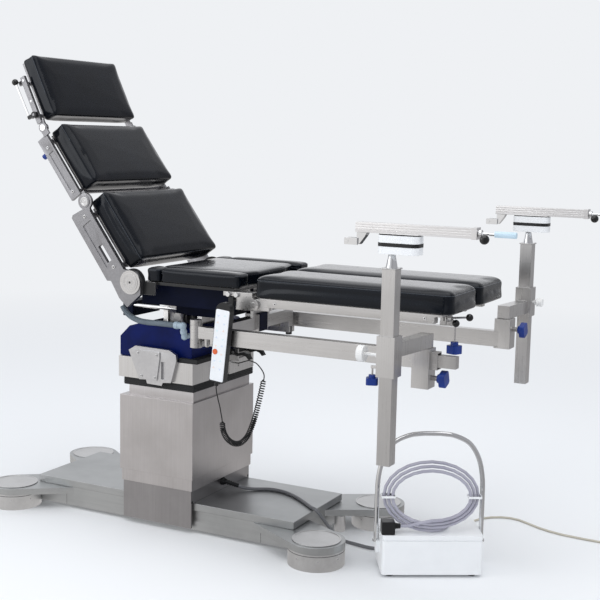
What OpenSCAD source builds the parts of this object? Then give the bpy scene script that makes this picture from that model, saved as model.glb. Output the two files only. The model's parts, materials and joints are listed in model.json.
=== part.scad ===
// Orthopedic operating table: column base, seat, folding back, two leg plates and two traction units.
// X runs to the foot end, Y to the far side, Z up; the origin is on the floor under the column.

/* [Cushions] */
// Width of the seat and back cushions
pad_w = 524; // [500:2:524]
// Thickness of the leg cushions
leg_pad_t = 75; // [50:1:78]
// Thickness of the seat cushions
seat_pad_t = 53; // [40:1:56]
// Rise of a cushion's face at its middle
crown = 3; // [1:0.5:6]
// Draw-in of a cushion's side walls
draw_in = 2; // [0:0.5:4]
// Gap between the two leg cushions
leg_gap = 26; // [16:1:60]

/* [Column and base] */
// Wall of the column covers
cover_wall = 2; // [1.5:0.1:2.4]
// Radius of the foot pods
foot_r = 99; // [80:1:105]
// Radius of the lift ram's rod
ram_r = 18; // [12:0.5:22]
// Wall of the telescopic masts
mast_wall = 8; // [5:0.5:9]

/* [Traction units] */
// Side of the square post
post_w = 43; // [36:1:46]
// Height of the outrigger bar
bar_h = 55; // [44:1:56]
// Depth of the outrigger bar
bar_d = 35; // [28:1:36]
// Side of the clamp block and the sleeve
block_w = 58; // [56:1:60]
// Diameter of the lobed knobs
knob_d = 56; // [44:1:60]
// Radius of the traction screw
screw_r = 4; // [3:0.25:4.5]

/* [Hinges] */
// Radius of the back section's hinge disc
disc_r = 43; // [34:1:44]
// Radius of the back section's hinge pin
hinge_pin_r = 14; // [10:0.5:16]
// Radius of the smaller hinge pins
pin_r = 10; // [7:0.5:10]
// Radius of the black ball knobs
ball_r = 12; // [9:0.5:14]

/* [Cables] */
// Radius of the supply cable
cable_r = 6; // [5:0.25:6]
// Radius of the hose at its ribs
hose_r = 10.5; // [9:0.25:11]
// Number of curls in the handset cord
curls = 30; // [20:1:34]
// Outer radius of a curl
curl_r = 10.5; // [8:0.5:11]

/* [Clearances] */
// Gap between sliding parts, each side
slide_gap = 0.4; // [0.3:0.05:0.6]
// Radial gap of a pin in its bore
pin_gap = 0.05; // [0.03:0.01:0.09]

/* [Hidden] */
$fn = 36;
hw = pad_w / 2;
top_z = 919;
back_th = 53.5;
head_th = 64.5;
hinge_x = -63;
hinge_z = 914;
mid_x = -264;
mid_z = 1192;
head_x = -455;
head_z = 1452;
mid_s = (hinge_x - mid_x) * cos(back_th) + (mid_z - hinge_z) * sin(back_th);
mid_n = (mid_z - hinge_z) * cos(back_th) - (hinge_x - mid_x) * sin(back_th);
head_s = (mid_x - head_x) * cos(back_th) + (head_z - mid_z) * sin(back_th);
head_n = (head_z - mid_z) * cos(back_th) - (mid_x - head_x) * sin(back_th);
leg_hx = 417;
leg_hz = 868;
tilt_z = 770;
trunnion_r = 15;
hub_x = 216;
hub_y = 290;
hub_r = 21;
post_near = [1036, -518];
post_far = [1147, 482];
block_near_c = [1059, -293];
block_far_c = [1131, 300];
bar_zn = 757;
bar_zf = 744;
bar_y = 292;
leg_in = leg_gap / 2;

// Colours
module steel() {
  color([0.66, 0.65, 0.64]) children();
}
module bright() {
  color([0.82, 0.82, 0.83]) children();
}
module navy() {
  color([0.05, 0.10, 0.32]) children();
}
module black() {
  color([0.07, 0.07, 0.08]) children();
}
module white() {
  color([0.92, 0.92, 0.91]) children();
}

// Shared shapes
function unit(v) = v / norm(v);
function tangent_point(p, c, r, s) =
  let (d = p - c, a = atan2(d.y, d.x), b = acos(r / norm(d)))
  c + r * [cos(a + s * b), sin(a + s * b)];

module box(a, b) {
  translate(a) cube(b - a);
}

module rod(a, b, r) {
  v = b - a;
  translate(a)
    rotate([0, acos(v.z / norm(v)), atan2(v.y, v.x)])
      cylinder(h = norm(v), r = r);
}

module along_y(x, z, y0, y1, r) {
  translate([x, y0, z])
    rotate([-90, 0, 0])
      cylinder(h = y1 - y0, r = r);
}

module along_x(y, z, x0, x1, r) {
  translate([x0, y, z])
    rotate([0, 90, 0])
      cylinder(h = x1 - x0, r = r);
}

module plate_y(y0, y1) {
  translate([0, y1, 0])
    rotate([90, 0, 0])
      linear_extrude(height = y1 - y0) children();
}

module rounded(w, h, r) {
  translate([r, 0]) square([w - 2 * r, h]);
  translate([0, r]) square([w, h - 2 * r]);
  for (x = [r, w - r])
    for (y = [r, h - r])
      translate([x, y]) circle(r = r);
}

// A section of the back: local X runs up the section, local Z to its front.
module section(x, z, th) {
  translate([x, 0, z])
    rotate([0, th, 0])
      mirror([1, 0, 0]) children();
}

module both_sides() {
  children();
  mirror([0, 1, 0]) children();
}

// Tube of even sides round a chain of points, its section carried along without twist.
function tangents(p) = [for (i = [0:len(p) - 1])
  unit(p[min(i + 1, len(p) - 1)] - p[max(i - 1, 0)])];
function start_normal(t) = unit(cross(t, abs(t.z) < 0.8 ? [0, 0, 1] : [1, 0, 0]));
function normals(t) = [for (i = 0, v = start_normal(t[0]); i < len(t);
  i = i + 1, v = i < len(t) ? unit(v - (v * t[i]) * t[i]) : v) v];

module tube(p, r, sides = 8) {
  n = len(p);
  t = tangents(p);
  m = normals(t);
  radius = [for (i = [0:n - 1]) is_list(r) ? r[i] : r];
  pts = [for (i = [0:n - 1])
    for (k = [0:sides - 1])
      let (a = 360 * k / sides)
        p[i] + radius[i] * (cos(a) * m[i] + sin(a) * cross(t[i], m[i]))];
  caps = concat(pts, [p[0], p[n - 1]]);
  walls = [for (i = [0:n - 2])
    for (k = [0:sides - 1])
      let (a = i * sides + k, b = i * sides + (k + 1) % sides)
        each [[a, a + sides, b + sides], [a, b + sides, b]]];
  ends = [for (k = [0:sides - 1])
    let (b = (k + 1) % sides)
      each [[n * sides, k, b], [n * sides + 1, (n - 1) * sides + b, (n - 1) * sides + k]]];
  polyhedron(points = caps, faces = concat(walls, ends), convexity = 8);
}

// Hollow tube: the walls outside and inside, joined at both ends.
module pipe(p, r, bore, sides = 8) {
  n = len(p);
  t = tangents(p);
  m = normals(t);
  function ring(i, q) = [for (k = [0:sides - 1])
    let (a = 360 * k / sides) p[i] + q * (cos(a) * m[i] + sin(a) * cross(t[i], m[i]))];
  outer = [for (i = [0:n - 1]) each ring(i, r[i])];
  inner = [for (i = [0:n - 1]) each ring(i, bore)];
  walls = [for (i = [0:n - 2])
    for (k = [0:sides - 1])
      let (a = i * sides + k, b = i * sides + (k + 1) % sides, h = n * sides)
        each [[a, a + sides, b + sides], [a, b + sides, b],
          [h + a, h + b + sides, h + a + sides], [h + a, h + b, h + b + sides]]];
  ends = [for (k = [0:sides - 1])
    let (b = (k + 1) % sides, h = n * sides, e = (n - 1) * sides)
      each [[k, b, h + b], [k, h + b, h + k],
        [e + k, h + e + b, e + b], [e + k, h + e + k, h + e + b]]];
  polyhedron(points = concat(outer, inner), faces = concat(walls, ends), convexity = 8);
}

// Least gap of a wound tube to itself, between points more than a half turn apart.
function halved(p) = [for (i = [0:2 * len(p) - 2])
  i % 2 == 0 ? p[i / 2] : (p[(i - 1) / 2] + p[(i + 1) / 2]) / 2];
function least_gap(p, r, apart) =
  let (q = halved(p))
  min([for (i = [0:len(q) - 1 - 2 * apart])
    min([for (j = [i + 2 * apart:len(q) - 1]) norm(q[i] - q[j])])]) - 2 * r;

// Smooth chain through hand-placed points.
function spline_at(p, i, f) =
  let (a = p[max(i - 1, 0)], b = p[i], c = p[i + 1], d = p[min(i + 2, len(p) - 1)])
  0.5 * (2 * b + (c - a) * f + (2 * a - 5 * b + 4 * c - d) * f * f
    + (3 * b - a - 3 * c + d) * f * f * f);
function spline(p, n) = concat([for (i = [0:len(p) - 2])
  for (k = [0:n - 1]) spline_at(p, i, k / n)], [p[len(p) - 1]]);

// Outline of a rounded rectangle, four points a corner.
function corner(cx, cy, r, a0) = [for (k = [0:3]) [cx + r * cos(a0 + 30 * k), cy + r * sin(a0 + 30 * k)]];
function outline(hx, hy, r) = concat(
  corner(hx - r, hy - r, r, 0), corner(r - hx, hy - r, r, 90),
  corner(r - hx, r - hy, r, 180), corner(hx - r, r - hy, r, 270));

// Cushion: rings of one outline from the underside to the crowned face.
module cushion(pts, hx, hy, t, edge = 12, under = 5) {
  n = len(pts);
  rings = [[0, under + 3], [under, 0.8], [t * 0.5, draw_in], [t - edge, 0],
    [t - edge * 0.35, edge * 0.3], [t, edge], [t + crown * 0.75, edge + hy * 0.28]];
  m = len(rings);
  body = [for (g = rings)
    for (q = pts) [q.x * (hx - g[1]) / hx, q.y * (hy - g[1]) / hy, g[0]]];
  caps = concat(body, [[0, 0, 0], [0, 0, t + crown]]);
  walls = [for (i = [0:m - 2])
    for (k = [0:n - 1])
      let (a = i * n + k, b = i * n + (k + 1) % n)
        each [[a, a + n, b + n], [a, b + n, b]]];
  ends = [for (k = [0:n - 1])
    let (b = (k + 1) % n)
      each [[m * n, k, b], [m * n + 1, (m - 1) * n + b, (m - 1) * n + k]]];
  polyhedron(points = caps, faces = concat(walls, ends), convexity = 4);
}

module block_cushion(x0, x1, y0, y1, z, t, r = 14, edge = 12) {
  hx = (x1 - x0) / 2;
  hy = (y1 - y0) / 2;
  translate([x0 + hx, y0 + hy, z])
    cushion(outline(hx, hy, r), hx, hy, t - crown, edge);
}

// Four-lobed grip: a square with wide round corners on a round neck.
module lobed_knob(r, t) {
  w = 1.64 * r;
  rotate([0, 0, 20]) translate([-w / 2, -w / 2, t * 0.3])
    linear_extrude(height = t * 0.7) rounded(w, w, 0.4 * r);
  cylinder(h = t * 0.5, r = r * 0.5);
}

// Floor assembly
module corner_plate(fx, fy) {
  c = [fx, fy];
  a = [392, 190];
  b = [548, 60];
  translate([0, 0, 60])
    linear_extrude(height = 24) {
      polygon([[392, 120], a, tangent_point(a, c, foot_r, -1), c,
        tangent_point(b, c, foot_r, 1), b, [500, 60]]);
      circle_at(c, foot_r);
    }
}

module circle_at(c, r) {
  translate(c) circle(r = r, $fn = 64);
}

module base_chassis() {
  steel() {
    box([-556, -192, 12], [556, 192, 88]);
    box([-562, -194, 86], [562, 194, 112]);
    corner_plate(685, 255);
    mirror([0, 1, 0]) corner_plate(670, 232);
    mirror([1, 0, 0]) corner_plate(640, 250);
    mirror([1, 0, 0]) mirror([0, 1, 0]) corner_plate(634, 249);
    difference() {
      box([-75, -95, 104], [75, 95, 455]);
      box([-75 + mast_wall, -95 + mast_wall, 120], [75 - mast_wall, 95 - mast_wall, 470]);
    }
    difference() {
      translate([0, 0, 104]) cylinder(h = 336, r = 30);
      translate([0, 0, 150]) cylinder(h = 300, r = ram_r + pin_gap);
    }
  }
}

module foot_pods() {
  feet = [[685, 255], [670, -232], [-640, 250], [-634, -249]];
  color([0.6, 0.6, 0.6]) {
    difference() {
      for (c = feet)
        translate([c.x, c.y, 0]) cylinder(h = 60, r = foot_r - 1, $fn = 64);
      box([-556.2, -192.2, -1], [556.2, 192.2, 70]);
    }
    for (c = feet)
      translate([c.x, c.y, 84])
        difference() {
          cylinder(h = 3, r = foot_r - 14, $fn = 64);
          translate([0, 0, 1.5]) cylinder(h = 3, r = foot_r - 19, $fn = 64);
        }
    for (c = [[597, 108], [597, -108], [-582, 108], [-582, -108]])
      translate([c.x, c.y, 0]) cylinder(h = 60, r = 20);
    cylinder(h = 12, r = 40);
  }
}

module lower_cover() {
  w = cover_wall;
  steel() {
    difference() {
      box([-149, -209, 20], [149, 209, 330]);
      box([-149 + w, -209 + w, 0], [149 - w, 209 - w, 340]);
      box([-160, -200, 0], [160, 200, 112.3]);
    }
    difference() {
      box([-148, -208, 112.3], [148, 208, 117]);
      box([-76, -96, 100], [76, 96, 130]);
    }
  }
}

module cable_gland() {
  black() {
    along_x(9, 144, 149, 155, 15);
    along_x(9, 144, 155, 164, 11);
    for (k = [0:5])
      rod([163 + 8 * k, 9 + 3.5 * k, 144 - 2.6 * k], [167 + 8 * k, 10.75 + 3.5 * k, 142.7 - 2.6 * k],
        10 - 0.4 * k);
    rod([160, 8, 145], [208, 29, 129.4], 7);
  }
}

supply_pts = [[208.4, 29.2, 129.3], [230, 38, 122], [262, 56, 118.2], [312, 84, 118.2], [370, 84, 118.2],
  [430, 58, 118.2], [490, 16, 118.2], [546, -30, 118.2], [572, -46, 118], [596, -46, 96],
  [618, -34, 62], [642, -16, 26], [670, -2, 6.3], [720, -12, 6.3], [775, -20, 6.3],
  [815, -14, 8], [838, -26, 20], [847.6, -47.9, 30], [862.6, -73.4, 30]];

module supply_cable() {
  color([0.45, 0.45, 0.47]) tube(spline(supply_pts, 3), cable_r, 8);
}

module in_power_unit() {
  translate([920, -249, 0]) rotate([0, 0, 30.6]) children();
}

module power_box() {
  white() in_power_unit() {
    translate([0, 0, 10]) linear_extrude(height = 115) rounded(336, 180, 12);
    translate([3, 3, 125]) linear_extrude(height = 3) rounded(330, 174, 9);
    translate([0, 0, 128]) linear_extrude(height = 17) rounded(336, 180, 12);
    for (x = [30, 306])
      for (y = [30, 150])
        translate([x, y, 0]) cylinder(h = 10, r = 14);
    for (x = [-12, 336])
      box([x, 76, 60], [x + 12, 104, 100]);
    for (c = [[20.5, 43.3], [308.9, 39.8]])
      difference() {
        box([c.x - 22.8, c.y - 17.1, 263], [c.x + 22.8, c.y + 17.1, 271]);
        box([c.x - 20.4, c.y - 14.7, 250], [c.x + 20.4, c.y + 14.7, 280]);
      }
  }
}

handle_pts = [[-10, 90, 100], [-10, 90, 160], [-10, 90, 250], [-7, 90, 320], [8, 90, 385], [40, 90, 435],
  [88, 90, 460], [130, 90, 467], [168, 90, 468], [206, 90, 467], [248, 90, 460], [296, 90, 435],
  [328, 90, 385], [343, 90, 320], [346, 90, 250], [346, 90, 160], [346, 90, 100]];

module power_handle() {
  bright() in_power_unit() tube(handle_pts, 8, 10);
}

coil_loops = 3;
coil_step = 13.2;
coil_wire = 6.3;
coil_turns = [for (k = [0:24 * coil_loops])
  let (a = -15 * k - 90, g = k / 24, c = (118 - coil_step * g) * sin(a))
    [168 + (164 - coil_step * g) * cos(a), 52 - 7 * g + 0.18 * c, 267.6 + 0.98 * c]];
coil_pts = concat([[238, 104, 151.8], [226, 76, 151.8], [204, 46, 151.8]], coil_turns,
  [[126, 15, 184], [98, 21, 174], [80, 26, 170], [62.3, 26, 170]]);

module power_coil() {
  echo("power coil, least gap to itself", least_gap(coil_turns, coil_wire, 13));
  color([0.55, 0.53, 0.58]) in_power_unit() tube(coil_pts, coil_wire, 6);
  black() in_power_unit() {
    box([-2, 4, 145], [42, 48, 189]);
    rod([42, 26, 170], [62, 26, 170], 10);
  }
}

lead_end = [1560, 470, 4.2];
lead_pts = [[1044.8, 35, 30], [1030, 60, 25], [1024, 100, 8], [1006, 180, 4.2], [990, 280, 4.2],
  [984, 400, 4.2],
  [1010, 500, 4.2], [1070, 556, 4.2], [1140, 560, 4.2], [1230, 510, 4.2], [1330, 478, 4.2], [1471, 470, 4.2],
  lead_end];
lead_loops = 5;
lead_coil = [for (k = [1:24 * lead_loops])
  let (a = 15 * k - 90)
    [lead_end.x + 44 * cos(a) + 12, lead_end.y + 44 * (1 + sin(a)), 4.2 + 8.8 * max(0, k - 12) / 24]];

module mains_lead() {
  echo("mains coil, least gap to itself", least_gap(lead_coil, 4, 13));
  color([0.85, 0.83, 0.78]) {
    tube(concat(spline(lead_pts, 2), lead_coil,
      [[1615, 470, 46], [1640, 476, 40], [1664, 486, 24], [1682, 490, 18], [1690, 490, 18]]), 4, 6);
  }
}

module mains_plug() {
  white() {
    box([1690, 472, 0], [1726, 508, 38]);
    for (y = [480.5, 499.5])
      along_x(y, 19, 1726, 1745, 2.4);
  }
}

// Column
module mid_stage() {
  w = cover_wall;
  g = slide_gap + mast_wall;
  steel() {
    difference() {
      box([-154, -213, 160], [154, 213, 440]);
      box([-154 + w, -213 + w, 150], [154 - w, 213 - w, 436]);
      box([-76, -96, 430], [76, 96, 450]);
    }
    difference() {
      box([-75 + g, -95 + g, 190], [75 - g, 95 - g, 470]);
      box([-75 + 2 * mast_wall + slide_gap, -95 + 2 * mast_wall + slide_gap, 180],
        [75 - 2 * mast_wall - slide_gap, 95 - 2 * mast_wall - slide_gap, 480]);
    }
    difference() {
      box([-150, -209, 456], [150, 209, 462]);
      box([-60, -80, 450], [60, 80, 470]);
    }
    for (x = [-120, 114])
      box([x, -180, 440], [x + 6, 180, 456]);
  }
}

module outer_sleeve() {
  w = cover_wall;
  g = 2 * (slide_gap + mast_wall);
  steel() {
    difference() {
      box([-159, -218, 204], [159, 218, 486]);
      box([-159 + w, -218 + w, 190], [159 - w, 218 - w, 480]);
    }
    difference() {
      box([-75 + g, -95 + g, 128], [75 - g, 95 - g, 482]);
      box([-75 + g + mast_wall, -95 + g + mast_wall, 120], [75 - g - mast_wall, 95 - g - mast_wall, 480.5]);
    }
    translate([0, 0, 160]) cylinder(h = 322, r = ram_r);
    box([-130, -200, 486], [150, 200, 525]);
  }
}

module column_collar() {
  black() {
    box([-144, -212, 525], [158, 212, 553]);
    box([97, -216, 630], [175, -200.3, 646]);
    box([141.3, -200.3, 630], [175, 200, 646]);
  }
}

module head_block() {
  steel() {
    box([-164, -218, 553], [157, 218, 630]);
    difference() {
      box([157, 25, 554], [165, 200, 604]);
      along_x(90, 579, 160, 170, 5);
    }
    along_x(90, 579, 160, 163, 4.4);
    for (s = [0, 1])
      mirror([s, 0, 0])
        difference() {
          box([65, -45, 630], [85, 45, 800]);
          along_x(0, tilt_z, 60, 90, trunnion_r + pin_gap);
        }
    for (y = [31, 131]) {
      box([157, y, 606], [196, y + 8, 628]);
      box([176, y, 606], [196, y + 8, 652]);
      along_y(186, 642, y - 20, y + 1, 5);
    }
  }
}

module cheek_bracket() {
  bright() {
    difference() {
      plate_y(-232, -218)
        polygon([[-110, 658], [-81, 676], [65, 673], [94, 658], [97, 640], [74, 555], [39, 552], [34, 540],
          [-29, 542], [-34, 556], [-64, 554]]);
      box([32, -240, 564], [52, -224, 628]);
    }
    plate_y(-237, -232)
      polygon([[-80, 664], [28, 662], [28, 640], [16, 558], [-60, 560], [-78, 640]]);
    for (c = [[-66, 652], [15, 650], [-50, 570], [8, 568]])
      along_y(c.x, c.y, -239, -237, 4);
  }
}

module cheek_brackets() {
  both_sides() cheek_bracket();
}

cover_outline = [[-171, 630], [-171, 700], [-130, 741], [-90, 753], [60, 753], [100, 745], [141, 712],
  [141, 630]];

module head_cover() {
  navy() difference() {
    plate_y(-200, 200) polygon(cover_outline);
    plate_y(-196, 196)
      polygon([[-167, 620], [-167, 698], [-128, 737], [-89, 749], [59, 749], [98, 741], [137, 710],
        [137, 620]]);
    box([-95, -100, 740], [95, 100, 760]);
  }
}

module hand_lever(y) {
  black() difference() {
    union() {
      along_y(186, 642, y - 18.5, y - 0.5, 10);
      plate_y(y - 17, y - 2)
        polygon([[184, 634], [210, 640], [232, 646], [250, 640], [262, 622], [252, 618], [240, 630],
          [226, 634], [204, 628], [188, 632]]);
      box([178, y - 17, 642], [194, y - 2, 656]);
    }
    along_y(186, 642, y - 30, y + 10, 5 + pin_gap);
  }
}

module hand_lever_a() {
  hand_lever(31);
}

module hand_lever_b() {
  hand_lever(131);
}

hose_pts = [[-134, -236, 818], [-126, -236, 806], [-110, -236, 790], [-88, -236, 778], [-55, -236, 769.5],
  [-15, -236, 767.5], [25, -236, 768], [62, -236, 768], [99.7, -236, 768]];
hose_path = spline(hose_pts, 5);
hose_radii = [for (i = [0:len(hose_path) - 1]) i < 2 || i > len(hose_path) - 3 || i % 2 == 0
  ? hose_r : hose_r - 1.2];

module air_hose() {
  color([0.5, 0.53, 0.57]) {
    pipe(hose_path, hose_radii, hose_r - 3, 8);
  }
  bright() {
    along_x(-236, 768, 100, 124, 12);
    translate([126, -236, 768]) sphere(r = 14);
    rod([126, -236, 766], [128, -228, 728], 10);
    translate([128, -228, 728]) sphere(r = 12.5);
    along_y(128, 728, -226, -200, 9.5);
  }
}

module tilt_cross() {
  steel() {
    box([-45, -45, tilt_z - 28], [45, 45, tilt_z + 28]);
    along_x(0, tilt_z, -84, 84, trunnion_r);
    along_y(0, tilt_z, -84, 84, trunnion_r);
  }
}

// Seat
module seat_side() {
  steel() {
    difference() {
      box([-30, 65, 742], [30, 85, 846]);
      along_y(0, tilt_z, 60, 90, trunnion_r + pin_gap);
    }
    box([-50, 150, 858], [294, 160, 908]);
    box([-17, 252, 895], [30, 267.7, 918.5]);
    box([-40, 262.5, 872], [30, 267.7, 918.5]);
    along_y(hinge_x, hinge_z, 262.5, 267.7, disc_r + 5);
    along_y(hinge_x, hinge_z, 262.5, 290, hinge_pin_r);
    along_y(hinge_x, hinge_z, 286.3, 291, disc_r);
    along_y(hinge_x, hinge_z, 291, 292.5, disc_r - 10);
    along_x(80, 798, -193, 40, 6);
    box([300, 210, 893], [414, 250, 908.5]);
    for (y = [210, 240]) {
      box([350, y, 848], [leg_hx, y + 10, 893]);
      along_y(leg_hx, leg_hz, y, y + 10, 20);
    }
    along_y(leg_hx, leg_hz, 210, 252, pin_r);
    difference() {
      box([324, 150, 868], [348, 165, 908.5]);
      along_y(336, 880, 140, 180, 6 + pin_gap);
    }
    for (x = [322, 354])
      along_y(x, 899, 250, 258, 8);
    box([262, 28, 738], [320, 34, 800]);
  }
}

module hub_mount(zb) {
  z0 = zb - 48;
  translate([hub_x, -hub_y, z0]) cylinder(h = 29, r = hub_r);
  translate([hub_x, -hub_y, z0]) cylinder(h = 97, r = pin_r);
  translate([hub_x, -hub_y, z0 + 78.3]) cylinder(h = 19, r = hub_r);
  translate([0, 0, z0 + 3])
    linear_extrude(height = 20)
      polygon([[198, -290], [234, -290], [250, -262], [310, -262], [310, -220], [198, -220]]);
  box([272, -250, z0 + 20], [308, -220, 746]);
}

module seat_frame() {
  both_sides() seat_side();
  steel() {
    box([-60, -205, 846], [294, 205, 858]);
    box([-28, -252, 908], [345, 252, top_z]);
    box([299, -60, 788], [311, 60, 909]);
    box([270, -250, 744], [310, 250, 790]);
    hub_mount(bar_zn);
    mirror([0, 1, 0]) hub_mount(bar_zf);
    translate([300, 236, 690]) cylinder(h = 30, r = 12);
  }
}

module seat_covers() {
  navy() {
    difference() {
      box([-64, -215, 832], [298, 215, 907.6]);
      box([-60.5, -211.5, 836], [294.5, 211.5, 920]);
      for (s = [0, 1])
        mirror([0, s, 0]) box([-31, 64, 820], [31, 86, 850]);
    }
    difference() {
      box([77.3, -150, 792], [233, 150, 832]);
      box([0, -75, 770], [105, 75, 840]);
    }
    both_sides() box([40.3, 75, 796], [78, 150, 832]);
    box([-238, -90, 756], [-193.3, 90, 812]);
  }
}

seat_outline = [[172, 92], [150, 182], [138, 187], [-178, 187], [-190, 180], [-190, -180], [-178, -187],
  [150, -187], [160, -182], [178, -122]];

module seat_pads() {
  t = seat_pad_t - crown;
  black() {
    translate([190, 0, top_z])
      cushion(seat_outline, 190, 187, t, 10);
    both_sides() {
      block_cushion(46, 368, 190, hw, top_z, seat_pad_t, 8, 8);
      block_cushion(-15, 43, 190, hw, top_z, seat_pad_t, 12, 10);
    }
  }
}

module cross_clamp() {
  navy() difference() {
    box([262, -27.7, 738], [322, 27.7, 804]);
    box([269.7, -40, 743.7], [310.3, 40, 790.3]);
    box([298.7, -40, 780], [311.3, 40, 810]);
  }
}

module release_levers() {
  black() {
    along_y(336, 880, -262, 262, 6);
    both_sides()
      plate_y(252.3, 262)
        polygon([[326, 884], [328, 890], [344, 890], [347, 882], [344, 846], [340, 832], [333, 832],
          [331, 846]]);
  }
}

// Handset
module in_handset() {
  translate([344, -331.5, 742]) rotate([0, 5.7, 0]) children();
}

module handset() {
  black() {
    in_handset() {
      translate([0, 13.5, 0]) rotate([90, 0, 0])
        linear_extrude(height = 24) {
          translate([-29, -136]) rounded(58, 258, 8);
          translate([0, 112]) circle(r = 29);
        }
      translate([-4, 0, -150]) cylinder(h = 16, r = 7);
    }
    box([334, -319, 764], [356, -315, 789]);
    box([334, -319, 785], [356, -290, 789]);
  }
  white() in_handset() difference() {
    translate([0, -10.5, 0]) rotate([90, 0, 0])
      linear_extrude(height = 3) translate([-26, -130]) rounded(52, 246, 5);
    translate([-14, -16, -30]) rotate([-90, 0, 0]) cylinder(h = 4.5, r = 9.3);
  }
}

module handset_key() {
  color([0.9, 0.3, 0.12]) in_handset()
    translate([-14, -15.2, -30]) rotate([-90, 0, 0]) cylinder(h = 3, r = 9);
}

cord_pts = [[349, -329, 470], [352, -327, 440], [358, -312, 410], [372, -292, 390], [384, -264, 386],
  [392, -232, 402], [394, -206, 430], [391, -176, 462], [388, -150, 500], [385, -124, 542],
  [382, -102, 580]];
curl_from = cord_pts[0];
curl_steps = curls * 8;
curl_wire = 2.1;
cord_length = len(cord_pts) - 1;

function cord_at(f) =
  let (g = min(f * cord_length, cord_length - 0.0001), i = floor(g))
    spline_at(cord_pts, i, g - i);
function cord_dir(f) = unit(cord_at(min(f + 0.004, 1)) - cord_at(max(f - 0.004, 0)));
function curl_point(f, turn) =
  let (t = cord_dir(f), a = unit(cross(t, [1, 0, 0])), b = cross(t, a),
    swell = min(1, min(f, 1 - f) * 40))
    cord_at(f) + (curl_r - curl_wire) * swell * (cos(turn) * a + sin(turn) * b);
curl_pts = [for (k = [0:curl_steps]) curl_point(k / curl_steps, 45 * k)];
cord_all = concat([[325.1, -331.5, 592.8], [324.5, -331.5, 586], [327, -331.4, 568], [333, -331, 545],
  [340, -330, 520], [345, -329.5, 495], [348, -329, 480]], curl_pts,
  [[379, -94, 593], [369, -86, 605], [348, -70, 616], [314, -38, 622], [276, 0, 618], [240, 36, 612],
    [205, 66, 600], [180, 70, 591], [172, 70, 590], [165.3, 70, 590]]);

module handset_cord() {
  echo("handset cord, least gap to itself", least_gap(curl_pts, curl_wire, 5));
  black() tube(cord_all, curl_wire, 6);
}

// Back
module back_frame() {
  section(hinge_x, hinge_z, back_th) {
    steel() {
      both_sides() {
        difference() {
          union() {
            plate_y(268, 286)
              polygon([[-64, -66], [-58, 8], [-20, 38], [20, 38], [45, 10], [54, 1], [318, 1], [326, -20],
                [334, -72], [326, -82], [60, -84], [50, -70], [-20, -76]]);
            plate_y(276.3, 286) polygon([[300, -20], [300, 1], [mid_s, 24], [mid_s, -20]]);
            along_y(mid_s, mid_n, 276.3, 286, 30);
          }
          along_y(0, 0, 260, 300, hinge_pin_r + pin_gap);
          plate_y(283, 290) translate([96, -58]) rounded(180, 44, 6);
          box([110, 260, -46], [180, 290, -26]);
        }
        along_y(mid_s, mid_n, 268, 287, pin_r);
        along_y(mid_s, mid_n, 286, 288.5, 21);
      }
      for (s = [84, 300])
        along_y(s, -24.2, -270, 270, 10);
      box([78, -240, -14.2], [318, 240, -8]);
    }
  }
}

module back_pad() {
  black() section(hinge_x, hinge_z, back_th)
    translate([195.5, 0, -8])
      cushion(outline(145.5, 258, 10), 145.5, 258, 88 - crown, 9, 14);
}

module mid_frame() {
  section(mid_x, mid_z, back_th) {
    steel() {
      both_sides() {
        difference() {
          union() {
            box([36, 268, -50], [296, 282, -2]);
            box([0, 268, -12], [40, 276, 12]);
            along_y(0, 0, 268, 276, 22);
            box([290, 276.3, -14], [head_s, 284, 14]);
            along_y(head_s, head_n, 276.3, 284, 18);
          }
          along_y(0, 0, 260, 290, pin_r + pin_gap);
          box([70, 279, -34], [230, 290, -12]);
        }
        along_y(head_s, head_n, 268, 284, 8);
      }
      for (s = [60, 280])
        along_y(s, -26.2, -270, 270, 10);
      box([60, -240, -16.4], [296, 240, -12]);
    }
    navy() translate([236, -275, -50]) mirror([0, 0, 1]) cylinder(h = 14, r = 10);
  }
}

module mid_pad() {
  black() section(mid_x, mid_z, back_th)
    translate([174, 0, -12])
      cushion(outline(130, 255, 10), 130, 255, 79 - crown, 9, 13);
}

module headrest_frame() {
  section(head_x, head_z, head_th) {
    steel() {
      both_sides() {
        difference() {
          union() {
            box([22, 268, -20], [207, 280, 0]);
            box([0, 268, -9], [30, 275.9, 9]);
            along_y(0, 0, 268, 275.9, 15);
            for (s = [52, 182])
              box([s, 268, -37], [s + 16, 276, -18]);
          }
          along_y(0, 0, 260, 290, 8 + pin_gap);
        }
      }
      for (s = [60, 190])
        along_y(s, -28.2, -270, 270, 8);
      box([44, -235, -20.4], [266, 235, -12]);
      along_y(56, -10, -296, -279, 5);
    }
  }
}

module headrest_pad() {
  black() section(head_x, head_z, head_th)
    translate([150, 0, -12])
      cushion(outline(124, 253, 10), 124, 253, 66 - crown, 8, 11);
}

module headrest_lever() {
  section(head_x, head_z, head_th) {
    black() {
      difference() {
        union() {
          along_y(56, -10, -295, -281, 11);
          box([50, -295, -40], [62, -285, -12]);
        }
        along_y(56, -10, -300, -270, 5 + pin_gap);
      }
      translate([198, -291, -39]) sphere(r = ball_r);
    }
    bright() rod([56, -291, -35], [192, -291, -38.9], 4);
  }
}

// Legs
module leg_frame(dx = 0) {
  steel() {
    difference() {
      union() {
        along_y(leg_hx, leg_hz, 220.3, 239.7, 20);
        box([leg_hx, 220.3, 850], [474, 239.7, 888]);
      }
      along_y(leg_hx, leg_hz, 200, 260, pin_r + pin_gap);
    }
    difference() {
      box([470, 214, 863], [1072, 246, 893.5]);
      box([520, 210, 870], [1060, 218, 886]);
    }
    box([470, 30, 876], [1072, 54, 893.5]);
    box([470, 30, 886], [1100, 250, 893.5]);
    box([444, 200, 889], [480, 250, 893.5]);
    box([1060 + dx, 138, 848], [1080 + dx, 162, 886.5]);
    along_x(150, 872, 1078 + dx, 1096 + dx, 5);
  }
}

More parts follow.
